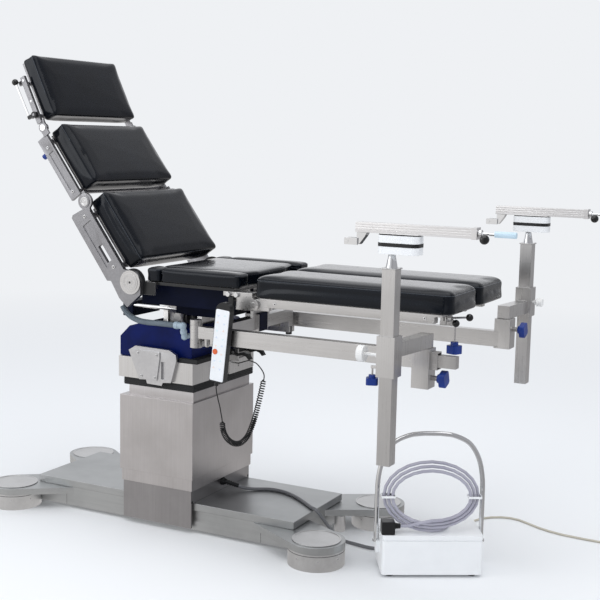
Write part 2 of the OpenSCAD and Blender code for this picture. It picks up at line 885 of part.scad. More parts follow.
// Lobed knob hanging from the end of the near leg plate.
module leg_knob() {
  steel() {
    box([1057, 142, 848], [1111, 158, 861]);
    translate([1107, 150, 790]) cylinder(h = 60, r = 3);
  }
  navy() translate([1107, 150, 796]) mirror([0, 0, 1]) lobed_knob(25, 38);
}

module leg_pad() {
  black()
    block_cushion(421, 1137, leg_in, hw, 893.8, leg_pad_t + 2, 26, 16);
}

module leg_lever(dx = 0, z = 876) {
  translate([dx, 0, 0]) difference() {
    union() {
      bright() {
        along_x(150, 872, 1084, 1096, 9);
        rod([1090, 150, 872], [1116, 172, 861], 3.5);
        rod([1090, 150, 872], [1146, 132, z], 3.5);
      }
      black() {
        translate([1118, 174, 860]) sphere(r = ball_r);
        translate([1148, 131, z]) sphere(r = ball_r);
      }
    }
    along_x(150, 872, 1070, 1110, 5 + pin_gap);
  }
}

module leg_near_frame() {
  mirror([0, 1, 0]) {
    leg_frame();
    leg_knob();
  }
}

module leg_near_pad() {
  mirror([0, 1, 0]) leg_pad();
}

module leg_near_lever() {
  mirror([0, 1, 0]) leg_lever();
}

module leg_far_frame() {
  leg_frame(-110);
}

module leg_far_pad() {
  leg_pad();
}

module leg_far_lever() {
  leg_lever(-110, 866);
}

// Traction units
module outrigger(zb, x1) {
  z0 = zb - bar_h / 2;
  z1 = zb + bar_h / 2;
  ya = -bar_y - bar_d / 2;
  yb = -bar_y + bar_d / 2;
  steel() {
    difference() {
      union() {
        translate([hub_x, -hub_y, zb - 18.7]) cylinder(h = 48.7, r = hub_r);
        box([hub_x, -303, zb - 14], [262, -277, zb + 27]);
      }
      translate([hub_x, -hub_y, zb - 30]) cylinder(h = 80, r = pin_r + pin_gap);
    }
    box([260, ya, zb - 12], [289, yb, zb + 27]);
    difference() {
      box([285, ya, z0], [x1, yb, z1]);
      box([292, ya + 3, z0 + 3], [x1 + 1, yb - 3, z1 - 3]);
    }
    translate([262, -292, zb - 34]) cylinder(h = 24, r = 10);
    translate([262, -292, zb - 34]) sphere(r = 10);
  }
}

module bar_near() {
  outrigger(bar_zn, 1111);
  steel() {
    box([1096, -bar_y - bar_d / 2 + 3, 738], [1170, -bar_y + bar_d / 2 - 3, 776]);
  }
}

// The far bar ends in a black ring; the far block's tongue slides in it.
module far_channel(x0, x1, m) {
  box([x0, bar_y - bar_d / 2 + m, bar_zf - bar_h / 2 + m],
    [x1, bar_y + bar_d / 2 - m, bar_zf + bar_h / 2 - m]);
}

module bar_far() {
  mirror([0, 1, 0]) outrigger(bar_zf, 1106);
  black() difference() {
    union() {
      far_channel(1106, 1116, 0);
      far_channel(1096, 1107, 3);
    }
    far_channel(1090, 1120, 5);
  }
}

near_kz = bar_zn - bar_h / 2 - knob_d / 2 - 0.6;
far_kz = 781;

module block_near() {
  c = block_near_c;
  h = block_w / 2;
  steel() {
    difference() {
      box([c.x - h, c.y - h, 668], [c.x + h, c.y + h, 794]);
      box([c.x - 60, -bar_y - bar_d / 2 - slide_gap, bar_zn - bar_h / 2 - slide_gap],
        [c.x + 60, -bar_y + bar_d / 2 + slide_gap, bar_zn + bar_h / 2 + slide_gap]);
      along_x(c.y, near_kz, c.x, c.x + h + 1, 8 + pin_gap);
    }
    translate([c.x, c.y, 794]) cylinder(h = 30, r = 12);
  }
}

module block_far() {
  c = block_far_c;
  h = block_w / 2;
  g = -slide_gap;
  steel() {
    difference() {
      box([c.x - h, c.y - h, 712], [c.x + h, c.y + h, 818]);
      far_channel(c.x - h - 1, 1116.4, g);
      box([c.x - h - 1, c.y - h - 1, bar_zf - bar_h / 2 + g],
        [1116.4, bar_y, bar_zf + bar_h / 2 - g]);
      along_x(c.y, far_kz, c.x, c.x + h + 1, 8 + pin_gap);
    }
    far_channel(820, 1125, 5 + slide_gap);
    translate([c.x, c.y, 818]) cylinder(h = 30, r = 12);
  }
}

module clamp_knob(x, y, z, t) {
  steel() along_x(y, z, x - 20, x + 22, 8);
  navy() translate([x + 20, y, z]) rotate([0, 90, 0]) lobed_knob(knob_d / 2, t);
}

module block_knob_near() {
  clamp_knob(block_near_c.x + block_w / 2, block_near_c.y, near_kz, 30);
}

module block_knob_far() {
  clamp_knob(block_far_c.x + block_w / 2, block_far_c.y, far_kz, 28);
}

module arm(c, p, z0, z1, s0, s1, side, screw_side) {
  h = block_w / 2;
  g = post_w / 2 + slide_gap;
  kz = (s0 + s1) / 2;
  steel() {
    difference() {
      union() {
        translate([0, 0, z0 + 0.3]) linear_extrude(height = z1 - z0 - 0.3)
          polygon([[c.x - 22, c.y - side * 22], [c.x + 22, c.y - side * 22], [c.x + 22, c.y],
            [p.x + 18, p.y], [p.x - 18, p.y], [c.x - 22, c.y]]);
        box([p.x - h, p.y - h, s0], [p.x + h, p.y + h, s1]);
      }
      box([p.x - g, p.y - g, s0 - 1], [p.x + g, p.y + g, s1 + 1]);
      translate([c.x, c.y, z0 - 5]) cylinder(h = 37, r = 12 + pin_gap);
      along_x(p.y, kz, screw_side > 0 ? p.x : p.x - 60, screw_side > 0 ? p.x + 60 : p.x, 5 + pin_gap);
    }
  }
}

module arm_near() {
  p = post_near;
  arm(block_near_c, p, 794, 838, 738, 861, -1, -1);
  steel() {
    box([p.x - 56, p.y - 4, 758], [p.x - block_w / 2 + 1, p.y + 4, 766]);
    translate([p.x - 52, p.y, 736]) cylinder(h = 26, r = 3);
  }
  navy() translate([p.x - 52, p.y, 738]) mirror([0, 0, 1]) lobed_knob(22, 30);
}

module arm_far() {
  arm(block_far_c, post_far, 818, 864, 806, 912, 1, 1);
}

module side_knob(p, z, s, reach, r) {
  x = p.x + s * (block_w / 2 - 6);
  white() {
    rod([x, p.y, z], [x + s * reach, p.y, z], 5);
    rod([x + s * 12, p.y, z], [x + s * 18, p.y, z], 9);
    rod([x + s * (reach - 8), p.y, z], [x + s * (reach + 14), p.y, z], r);
  }
}

module arm_knob_near() {
  side_knob(post_near, (738 + 861) / 2, -1, 62, 25);
}

module arm_knob_far() {
  side_knob(post_far, (806 + 912) / 2, 1, 28, 15);
}

module post(p, z0, z1) {
  h = post_w / 2;
  steel() {
    difference() {
      box([p.x - h, p.y - h, z0], [p.x + h, p.y + h, z1]);
      box([p.x - h + 3, p.y - h + 3, z0 - 1], [p.x + h - 3, p.y + h - 3, z1 - 5]);
    }
    translate([p.x - 26, p.y - 26, z1]) linear_extrude(height = 3) rounded(52, 52, 6);
    translate([p.x, p.y, z1 + 3]) cylinder(h = 42, r1 = 18, r2 = 10);
    translate([p.x, p.y, z1 + 40]) cylinder(h = 22, r = 8);
  }
}

module post_near_tube() {
  post(post_near, 469, 1060);
}

module post_far_tube() {
  post(post_far, 555, 1070);
}

// Rail on its swivel head: a channel open below for the screw-driven boot carriage.
module rail(p, hx, z, x0, x1) {
  white() {
    difference() {
      translate([hx - 64, p.y - 33, z]) linear_extrude(height = 55) rounded(128, 66, 20);
      translate([p.x, p.y, z - 1]) cylinder(h = 24, r = 8 + pin_gap);
    }
  }
  black() translate([hx - 60, p.y - 22, z + 55]) cube([120, 44, 3]);
  bright() {
    difference() {
      box([x0, p.y - 15, z + 58], [x1, p.y + 15, z + 88]);
      box([x0 - 1, p.y - 9, z + 64], [x1 + 1, p.y + 9, z + 82]);
      box([x0 - 1, p.y - 5, z + 57], [x1 + 1, p.y + 5, z + 66]);
      for (k = [66, 73, 80])
        for (s = [-1, 1])
          box([x0 - 1, p.y + s * 15 - 1.2, z + k], [x1 + 1, p.y + s * 15 + 1.2, z + k + 2]);
    }
    difference() {
      box([x1, p.y - 17, z + 56], [x1 + 16, p.y + 17, z + 90]);
      along_x(p.y, z + 73, x1 - 5, x1 + 20, screw_r + pin_gap);
    }
  }
}

module boot(p, z, x0) {
  steel() {
    difference() {
      box([x0 + 8, p.y - 8.6, z + 64.4], [x0 + 36, p.y + 8.6, z + 81.6]);
      along_x(p.y, z + 73, x0, x0 + 50, screw_r + pin_gap);
    }
    box([x0 + 10, p.y - 4.6, z + 50], [x0 + 34, p.y + 4.6, z + 66]);
    plate_y(p.y - 12, p.y + 12)
      polygon([[x0 + 4, z + 57.4], [x0 + 36, z + 57.4], [x0 + 30, z + 46], [x0 + 12, z + 22],
        [x0 - 6, z + 22], [x0 - 6, z + 32], [x0 + 4, z + 34]]);
    for (s = [-1, 1])
      box([x0 - 34, p.y + s * 14 - 4, z + 20], [x0 + 8, p.y + s * 14 + 4, z + 40]);
    along_y(x0 - 24, z + 30, p.y - 19, p.y + 19, 4);
    along_x(p.y, z + 27, x0 - 16, x0 - 2, 5);
  }
}

module crank(p, z, x0, x1) {
  bright() {
    along_x(p.y, z + 73, x0 + 2, x1 + 50, screw_r);
    along_x(p.y, z + 73, x1 + 17, x1 + 26, 11);
    rod([x1 + 22, p.y, z + 73], [x1 + 40, p.y - 24, z + 60], 4);
  }
  black() translate([x1 + 42, p.y - 26, z + 59]) sphere(r = ball_r + 2);
  color([0.7, 0.84, 0.92]) along_x(p.y, z + 73, x1 + 64, x1 + 126, 9);
  bright() along_x(p.y, z + 73, x1 + 48, x1 + 70, 5);
}

module rail_near() {
  rail(post_near, 1062, 1105.4, 922, 1282);
}

module boot_near() {
  boot(post_near, 1105.4, 922);
}

module crank_near() {
  crank(post_near, 1105.4, 922, 1282);
}

module rail_far() {
  rail(post_far, 1158, 1115.4, 1025, 1348);
}

module boot_far() {
  boot(post_far, 1115.4, 1025);
}

module crank_far() {
  crank(post_far, 1115.4, 1025, 1348);
}

base_chassis();
foot_pods();
lower_cover();
cable_gland();
supply_cable();
power_box();
power_handle();
power_coil();
mains_lead();
mains_plug();
mid_stage();
outer_sleeve();
column_collar();
head_block();
cheek_brackets();
head_cover();
hand_lever_a();
hand_lever_b();
air_hose();
tilt_cross();
seat_frame();
seat_covers();
seat_pads();
cross_clamp();
release_levers();
handset();
handset_key();
handset_cord();
back_frame();
back_pad();
mid_frame();
mid_pad();
headrest_frame();
headrest_pad();
headrest_lever();
leg_near_frame();
leg_near_pad();
leg_near_lever();
leg_far_frame();
leg_far_pad();
leg_far_lever();
bar_near();
block_near();
block_knob_near();
arm_near();
arm_knob_near();
post_near_tube();
rail_near();
boot_near();
crank_near();
bar_far();
block_far();
block_knob_far();
arm_far();
arm_knob_far();
post_far_tube();
rail_far();
boot_far();
crank_far();
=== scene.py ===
"""Looks of an orthopedic operating table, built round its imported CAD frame.

X runs to the foot end, Y to the far side and Z up. Sizes are written in millimetres
and turned to metres where a mesh is made.
"""

import json
import logging
import math
from dataclasses import dataclass, field
from enum import Enum
from typing import Any, Callable

import bmesh  # noqa: E402
import bpy  # noqa: E402
from mathutils import Matrix, Vector  # noqa: E402

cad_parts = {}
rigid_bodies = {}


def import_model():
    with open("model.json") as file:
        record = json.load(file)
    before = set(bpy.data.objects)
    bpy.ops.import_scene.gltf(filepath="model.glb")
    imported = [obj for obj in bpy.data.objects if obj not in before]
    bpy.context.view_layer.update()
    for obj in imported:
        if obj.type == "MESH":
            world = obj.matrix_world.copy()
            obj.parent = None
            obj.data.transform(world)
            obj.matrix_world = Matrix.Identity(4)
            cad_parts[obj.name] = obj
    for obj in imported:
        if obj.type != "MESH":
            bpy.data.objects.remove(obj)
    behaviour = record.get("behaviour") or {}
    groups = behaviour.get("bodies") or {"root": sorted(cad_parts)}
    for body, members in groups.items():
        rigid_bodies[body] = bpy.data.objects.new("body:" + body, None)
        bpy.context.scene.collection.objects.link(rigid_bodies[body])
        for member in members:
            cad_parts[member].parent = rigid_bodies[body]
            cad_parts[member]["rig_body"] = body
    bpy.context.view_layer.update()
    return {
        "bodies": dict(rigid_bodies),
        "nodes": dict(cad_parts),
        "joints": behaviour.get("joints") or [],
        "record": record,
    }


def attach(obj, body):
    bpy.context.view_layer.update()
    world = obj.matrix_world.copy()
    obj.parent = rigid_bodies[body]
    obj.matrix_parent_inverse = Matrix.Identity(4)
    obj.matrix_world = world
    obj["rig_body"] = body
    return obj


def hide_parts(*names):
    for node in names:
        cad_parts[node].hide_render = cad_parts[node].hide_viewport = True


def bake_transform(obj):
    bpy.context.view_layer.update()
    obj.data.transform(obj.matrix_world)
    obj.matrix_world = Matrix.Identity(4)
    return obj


log = logging.getLogger("table")
MM = 0.001
# Points closer than these many metres are one: on made meshes, and on meshes of the CAD nodes.
WELD, CAD_WELD = 1e-6, 2e-6
# A rounded node may reach this many metres past the box of its plain one.
GROWTH = 3e-4
# The depth in metres of a finish's surface pattern.
RELIEF = 0.0002
# The cover of a cushion: its simulation's settings and steps, and the passes that even its moves.
COVER = {
    "quality": 4, "mass": 0.3, "tension_stiffness": 12, "compression_stiffness": 12,
    "bending_stiffness": 0.8, "use_pressure": True, "uniform_pressure_force": 4, "vertex_group_mass": "held",
}
COVER_STEPS = 20
CALM_PASSES = 9
# The lowest share of a cushion's height that its simulation holds.
HELD = 0.12
# A line of piping has at least so many points, and leaves out those nearer than so many millimetres.
PIPE_POINTS, PIPE_STEP = 12, 5
# Points of one rib of a hose, and of one turn of a coiled cable.
RIB_POINTS, TURN_POINTS = 4, 24
# The power unit's place on the floor, in millimetres, and its turn in degrees.
POWER_AT, POWER_TURN = (920, -249, 0), 30.6


def mm(*numbers: float) -> Vector:
    """Returns a point given in millimetres as a vector in metres."""
    return Vector(numbers) * MM


def linear(code: str) -> tuple[float, float, float, float]:
    """Turns an sRGB hex colour into linear light.

    Args:
        code: six hex digits after a hash sign.
    Returns:
        Red, green, blue and an alpha of one.
    """
    parts = [int(code[k : k + 2], 16) / 255 for k in (1, 3, 5)]
    light = [c / 12.92 if c <= 0.04045 else ((c + 0.055) / 1.055) ** 2.4 for c in parts]
    return (*light, 1.0)


def show(name: str, data: Any) -> Any:
    """Makes an object of some data and links it to the scene.

    Args:
        name: the object's name.
        data: its mesh, curve, camera or light.
    Returns:
        The object.
    """
    made = bpy.data.objects.new(name, data)
    bpy.context.scene.collection.objects.link(made)
    return made


def mesh_of(name: str, bm: bmesh.types.BMesh) -> Any:
    """Turns a bmesh into a mesh and frees it.

    Args:
        name: the mesh's name.
        bm: the bmesh.
    Returns:
        The mesh.
    """
    mesh = bpy.data.meshes.new(name)
    bm.to_mesh(mesh)
    bm.free()
    return mesh


def merged(source: Any) -> bmesh.types.BMesh:
    """Copies the mesh of a CAD node and joins its doubled points.

    Args:
        source: the node's object.
    Returns:
        The copy in the making.
    """
    bm = bmesh.new()
    bm.from_mesh(source.data)
    bmesh.ops.remove_doubles(bm, verts=bm.verts, dist=CAD_WELD)
    return bm


def bevel(bm: bmesh.types.BMesh, edges: list, width: float, steps: int, slide: bool = False) -> None:
    """Rounds edges.

    Args:
        bm: the mesh in the making.
        edges: the edges to round.
        width: how far from its edge a rounding starts, in millimetres.
        steps: segments of the rounding.
        slide: whether new points slide along the old edges.
    """
    bmesh.ops.bevel(
        bm, geom=edges, offset=width * MM, offset_type="OFFSET", segments=steps, profile=0.5, affect="EDGES",
        clamp_overlap=True, loop_slide=slide, material=-1,
    )


def empty_tree(owner: Any) -> bpy.types.NodeTree:
    """Empties the node tree of a material or world.

    Args:
        owner: the material or world.
    Returns:
        Its node tree.
    """
    owner.use_nodes = True
    owner.node_tree.nodes.clear()
    return owner.node_tree


def feed(tree: bpy.types.NodeTree, node: bpy.types.Node, **inputs: Any) -> None:
    """Sets or links the inputs of a node.

    Args:
        tree: the node's tree.
        node: the node.
        **inputs: values or output sockets, by input name with _ for a space, or at_ and a number.
    """
    for key, value in inputs.items():
        name = key.replace("_", " ")
        socket = node.inputs[int(name[3:])] if name.startswith("at ") else node.inputs[name]
        if isinstance(value, bpy.types.NodeSocket):
            tree.links.new(value, socket)
        else:
            socket.default_value = value


def add_node(
    tree: bpy.types.NodeTree, kind: str, settings: dict[str, Any] | None = None, **inputs: Any
) -> bpy.types.Node:
    """Adds a shader node with its settings and links.

    Args:
        tree: the node tree that gets the node.
        kind: the node's type name, less its common start.
        settings: attributes of the node, by name.
        **inputs: what feed takes.
    Returns:
        The new node.
    """
    node = tree.nodes.new("ShaderNode" + kind)
    for key, value in (settings or {}).items():
        setattr(node, key, value)
    feed(tree, node, **inputs)
    return node


def ramp(tree: bpy.types.NodeTree, factor: bpy.types.NodeSocket, stops: list[tuple[float, str]]) -> Any:
    """Adds a colour ramp.

    Args:
        tree: the node tree.
        factor: the socket that drives the ramp.
        stops: places from 0 to 1 with their hex colours.
    Returns:
        The ramp's colour socket.
    """
    node = add_node(tree, "ValToRGB", Fac=factor)
    bar = node.color_ramp.elements
    while len(bar) < len(stops):
        bar.new(0.5)
    for element, (place, code) in zip(bar, stops):
        element.position = place
        element.color = linear(code)
    return node.outputs["Color"]


def spread(
    tree: bpy.types.NodeTree, value: Any, low: float, high: float, start: float = 0.3, end: float = 0.7
) -> Any:
    """Maps a socket's values from one range to another.

    Args:
        tree: the node tree.
        value: the socket.
        low: what start becomes.
        high: what end becomes.
        start: the low end of the socket's values.
        end: their high end.
    Returns:
        The mapped socket.
    """
    node = add_node(tree, "MapRange", Value=value, From_Min=start, From_Max=end, To_Min=low, To_Max=high)
    return node.outputs[0]


def noise(
    tree: bpy.types.NodeTree, place: Any, scale: float, detail: float, rough: float = 0.5, twist: float = 0.0
) -> Any:
    """Adds a noise pattern.

    Args:
        tree: the node tree.
        place: the socket of the coordinates.
        scale: the pattern's scale per metre.
        detail: its finer layers.
        rough: how strong those are.
        twist: how far it is distorted.
    Returns:
        The pattern's socket.
    """
    node = add_node(
        tree, "TexNoise", Vector=place, Scale=scale, Detail=detail, Roughness=rough, Distortion=twist
    )
    return node.outputs[0]


class Grain(Enum):
    """The way that a metal's brush lines run, as pattern scales per metre along X, Y and Z."""

    ALONG_X = (4.0, 170.0, 170.0)
    ALONG_Y = (170.0, 4.0, 170.0)
    ALONG_Z = (170.0, 170.0, 4.0)
    EVEN = (90.0, 90.0, 90.0)


@dataclass(frozen=True)
class Finish:
    """A surface finish: its material's name, colour and gloss."""

    name: str
    colour: str
    roughness: float
    edge: float = 0.8

    def material(self) -> bpy.types.Material:
        """Finds the finish's material, or makes it on first use.

        Returns:
            The material.
        """
        found = bpy.data.materials.get(self.name)
        if found:
            return found
        made = bpy.data.materials.new(self.name)
        tree = empty_tree(made)
        shader = add_node(tree, "BsdfPrincipled")
        add_node(tree, "OutputMaterial", Surface=shader.outputs[0])
        self.dress(tree, shader, add_node(tree, "TexCoord").outputs["Object"])
        made.diffuse_color = linear(self.colour)
        return made

    def dress(self, tree: bpy.types.NodeTree, shader: bpy.types.Node, place: Any) -> None:
        """Sets the plain values; each kind of finish adds its own pattern."""
        feed(tree, shader, Base_Color=linear(self.colour), Roughness=self.roughness)

    def relief(self, tree: bpy.types.NodeTree, shader: bpy.types.Node, height: Any, strength: float) -> None:
        """Joins a rounded edge and a surface pattern into the shader's normal.

        Args:
            tree: the material's nodes.
            shader: the shader that gets the normal.
            height: the pattern's socket.
            strength: the share of the pattern that shows.
        """
        edge = add_node(tree, "Bevel", {"samples": 4}, Radius=self.edge * MM)
        bump = add_node(
            tree, "Bump", Strength=strength, Distance=RELIEF, Height=height, Normal=edge.outputs[0]
        )
        feed(tree, shader, Normal=bump.outputs[0])


@dataclass(frozen=True)
class BrushedMetal(Finish):
    """Metal drawn through abrasive belts: long fine lines that vary in tone and gloss."""

    second: str = "#9a9898"
    stain: str = "#8e8c8a"
    grain: Grain = Grain.ALONG_Z
    lines: float = 0.55
    cloud: float = 6.0

    def dress(self, tree: bpy.types.NodeTree, shader: bpy.types.Node, place: Any) -> None:
        """Adds brush lines, drawn coarser than the real 0.2 mm so that they show, and soft stains.

        Args:
            tree: the material's nodes.
            shader: the shader that gets the values.
            place: the socket of the object's own coordinates.
        """
        stretched = add_node(tree, "Mapping", Vector=place, Scale=self.grain.value).outputs[0]
        streak = noise(tree, stretched, 1.0, 5.0, 0.65)
        cloud = noise(tree, place, self.cloud, 4.0, 0.6)
        half = self.lines / 2
        lined = ramp(tree, streak, [(0.5 - half, self.second), (0.5 + half, self.colour)])
        patch = spread(tree, cloud, 0.0, 0.5, 0.42, 0.72)
        mixed = add_node(
            tree, "Mix", {"data_type": "RGBA"}, Factor=patch, at_6=lined, at_7=linear(self.stain)
        )
        gloss = spread(tree, streak, self.roughness - 0.05, self.roughness + 0.07)
        feed(tree, shader, Base_Color=mixed.outputs[2], Roughness=gloss, Metallic=1.0)
        self.relief(tree, shader, streak, 0.12)


@dataclass(frozen=True)
class PolishedMetal(Finish):
    """Plated or polished metal: nearly a mirror, with faint handling marks."""

    def dress(self, tree: bpy.types.NodeTree, shader: bpy.types.Node, place: Any) -> None:
        """Adds faint marks of about 20 mm to the gloss.

        Args:
            tree: the material's nodes.
            shader: the shader that gets the values.
            place: the socket of the object's own coordinates.
        """
        super().dress(tree, shader, place)
        marks = noise(tree, place, 50.0, 6.0)
        gloss = spread(tree, marks, self.roughness, self.roughness + 0.08)
        feed(tree, shader, Roughness=gloss, Metallic=1.0)
        self.relief(tree, shader, marks, 0.03)


@dataclass(frozen=True)
class Moulded(Finish):
    """Moulded plastic, rubber or paint: one colour with a fine skin and slight patches."""

    second: str = "#000000"
    grit: float = 1.2
    depth: float = 0.15
    coat: float = 0.0
    shine: float = 0.5

    def dress(self, tree: bpy.types.NodeTree, shader: bpy.types.Node, place: Any) -> None:
        """Adds the skin's grit, in millimetres, and patches of the second colour.

        Args:
            tree: the material's nodes.
            shader: the shader that gets the values.
            place: the socket of the object's own coordinates.
        """
        skin = noise(tree, place, 1000.0 / self.grit, 3.0, 0.6)
        cloud = noise(tree, place, 14.0, 4.0, 0.55)
        feed(
            tree, shader, IOR=1.5, Specular_IOR_Level=self.shine, Coat_Weight=self.coat,
            Base_Color=ramp(tree, cloud, [(0.35, self.colour), (0.75, self.second)]),
            Roughness=spread(tree, cloud, self.roughness - 0.03, self.roughness + 0.06),
        )
        self.relief(tree, shader, skin, self.depth)


@dataclass(frozen=True)
class Upholstery(Finish):
    """Coated cloth over foam: small pores, soft creases and a satin shine."""

    second: str = "#232528"

    def dress(self, tree: bpy.types.NodeTree, shader: bpy.types.Node, place: Any) -> None:
        """Adds pores of 1.6 mm over creases of about 30 mm.

        Args:
            tree: the material's nodes.
            shader: the shader that gets the values.
            place: the socket of the object's own coordinates.
        """
        pores = add_node(tree, "TexVoronoi", Vector=place, Scale=620.0).outputs["Distance"]
        crease = noise(tree, place, 34.0, 5.0, 0.6, 0.4)
        cloud = noise(tree, place, 7.0, 3.0)
        height = add_node(tree, "Math", {"operation": "MULTIPLY_ADD"}, at_0=crease, at_1=3.0, at_2=pores)
        bump = add_node(tree, "Bump", Strength=0.07, Distance=0.0003, Height=height.outputs[0])
        feed(
            tree, shader, Normal=bump.outputs[0], IOR=1.2, Specular_Tint=linear("#dbe8fb"),
            Base_Color=ramp(tree, cloud, [(0.3, self.colour), (0.72, self.second)]),
            Roughness=spread(tree, crease, self.roughness - 0.04, self.roughness + 0.07),
            Coat_Weight=1.0, Coat_Roughness=0.12, Coat_IOR=1.27,
        )


# Brushed stainless sheet: upright lines and a warm grey.
SHEET = BrushedMetal("stainless_sheet_upright", "#c8c5c5", 0.33, 1.2, "#b9b6b6", "#adaaa9")
# The lowest cover: the same sheet, darker and a little rougher.
SHEET_LOW = BrushedMetal("stainless_sheet_dull", "#a3a1a2", 0.36, 1.2, "#969495", "#8b898a")
# Brushed stainless box section: lines along its length.
STEEL_X = BrushedMetal("stainless_bar_lengthwise", "#d9d8d7", 0.3, 0.9, "#cbcac9", "#c3c2c1", Grain.ALONG_X)
STEEL_Y = BrushedMetal("stainless_bar_across", "#d5d4d3", 0.3, 0.9, "#c8c7c6", "#bebdbc", Grain.ALONG_Y)
STEEL_Z = BrushedMetal("stainless_tube_upright", "#dbdad9", 0.3, 0.9, "#cdcccb", "#c3c2c1")
# The base's worn top plate: cooler and cloudier than the covers.
PLATE = BrushedMetal(
    "stainless_plate_worn", "#b9bbbb", 0.36, 1.5, "#abadae", "#989a9b", Grain.ALONG_X, 0.6, 5.0
)
# Turned and blasted aluminium of the foot pods: even and pale, with a soft shine.
FOOT = BrushedMetal("turned_aluminium", "#d2d2d2", 0.36, 1.5, "#c6c6c6", "#bababa", Grain.EVEN, 0.5, 18.0)
# Machined aluminium of the cheek brackets and the hinge rings: clean, light, with a fine grain.
PLATE_ALLOY = BrushedMetal(
    "machined_aluminium", "#d0d0d1", 0.34, 0.8, "#c2c2c4", "#b4b4b6", Grain.EVEN, 0.5, 9.0
)
# The side plates and rails of the back's sections: a duller grey of the same alloy.
SIDE_ALLOY = BrushedMetal(
    "dull_side_plate_alloy", "#a2a2a5", 0.4, 0.8, "#919194", "#828285", Grain.EVEN, 0.5, 9.0
)
# Anodised extrusions of the traction rails.
RAIL_ALLOY = BrushedMetal("anodised_aluminium", "#ecebeb", 0.3, 0.5, "#e5e4e4", "#dfdede", Grain.ALONG_X)
CHROME = PolishedMetal("bright_chrome", "#e2e3e4", 0.08, 0.4)
# Dark steel for joint lines, and for the dark discs of painted shade in screw sockets and hinge centre
# holes.
DARK_JOINT_AND_HOLE_SHADE = PolishedMetal("dark_joint_and_hole_shade", "#4a4a4c", 0.3, 0.2)
# Powder coat on pressed steel: deep cobalt with a satin skin.
NAVY = Moulded("cobalt_powder_coat", "#03175a", 0.4, 1.6, "#031144", 1.4, 0.1, 0.0, 0.14)
# Injection-moulded covers, darker than the coat because they sit in shade.
NAVY_PLASTIC = Moulded("navy_moulded_cover", "#030b26", 0.5, 1.4, "#02081b", 1.4, 0.1, 0.0, 0.1)
KNOB_BLUE = Moulded("glossy_blue_nylon", "#15388c", 0.32, 1.2, "#102d77", 1.6, 0.08, 0.05, 0.35)
BLACK_PLASTIC = Moulded("black_nylon", "#121315", 0.34, 0.8, "#191a1c", 1.4, 0.12)
BLACK_RUBBER = Moulded("black_rubber_sheet", "#141618", 0.62, 0.8, "#1c1e20", 1.0, 0.25)
GLOSS_BLACK = Moulded("phenolic_ball_black", "#08090a", 0.12, 0.2, "#0b0c0d", 3.0, 0.02, 0.3)
WHITE = Moulded("white_enamelled_case", "#f6f8fa", 0.35, 1.2, "#f2f4f6", 1.8, 0.05)
WHITE_KNOB = Moulded("white_nylon", "#f1f1f0", 0.36, 1.2, "#e9e9e8", 1.6, 0.05)
FACE_FOIL = Moulded("membrane_foil", "#f0f2f5", 0.4, 0.4, "#ebeef2", 2.0, 0.04)
STOP_RED = Moulded("orange_red_key", "#e2703f", 0.45, 0.3, "#d96234", 1.4, 0.05)
HOSE = Moulded("grey_blue_hose", "#68737c", 0.45, 0.4, "#56616a", 1.2, 0.1)
HOSE_END = Moulded("pale_hose_fitting", "#a9bac6", 0.28, 0.8, "#8fa1ae", 1.6, 0.06, 0.1)
CABLE = Moulded("grey_cable_sheath", "#77787c", 0.42, 0.2, "#67686c", 1.4, 0.08)
COIL = Moulded("violet_grey_sheath", "#b4b3c0", 0.36, 0.2, "#a09fae", 1.4, 0.06, 0.1)
CORD_BLACK = Moulded("black_curly_sheath", "#0e0f11", 0.36, 0.1, "#141517", 1.2, 0.08)
LEAD = Moulded("beige_lead_sheath", "#c9c4b6", 0.45, 0.2, "#bdb8aa", 1.4, 0.08)
GRIP_TUBE = Moulded("pale_blue_grip", "#c9e0ee", 0.3, 0.6, "#bcd6e6", 1.6, 0.04, 0.1)
PAD = Upholstery("black_coated_cloth", "#06090e", 0.24, 0.0, "#0a0e15")
# Piping: a grey lighter than the cover's black, as a painted highlight along the seam's ridge.
PIPING_PAINTED_HIGHLIGHT = Upholstery("black_piping_painted_highlight", "#33373d", 0.28, 0.0, "#3f444b")


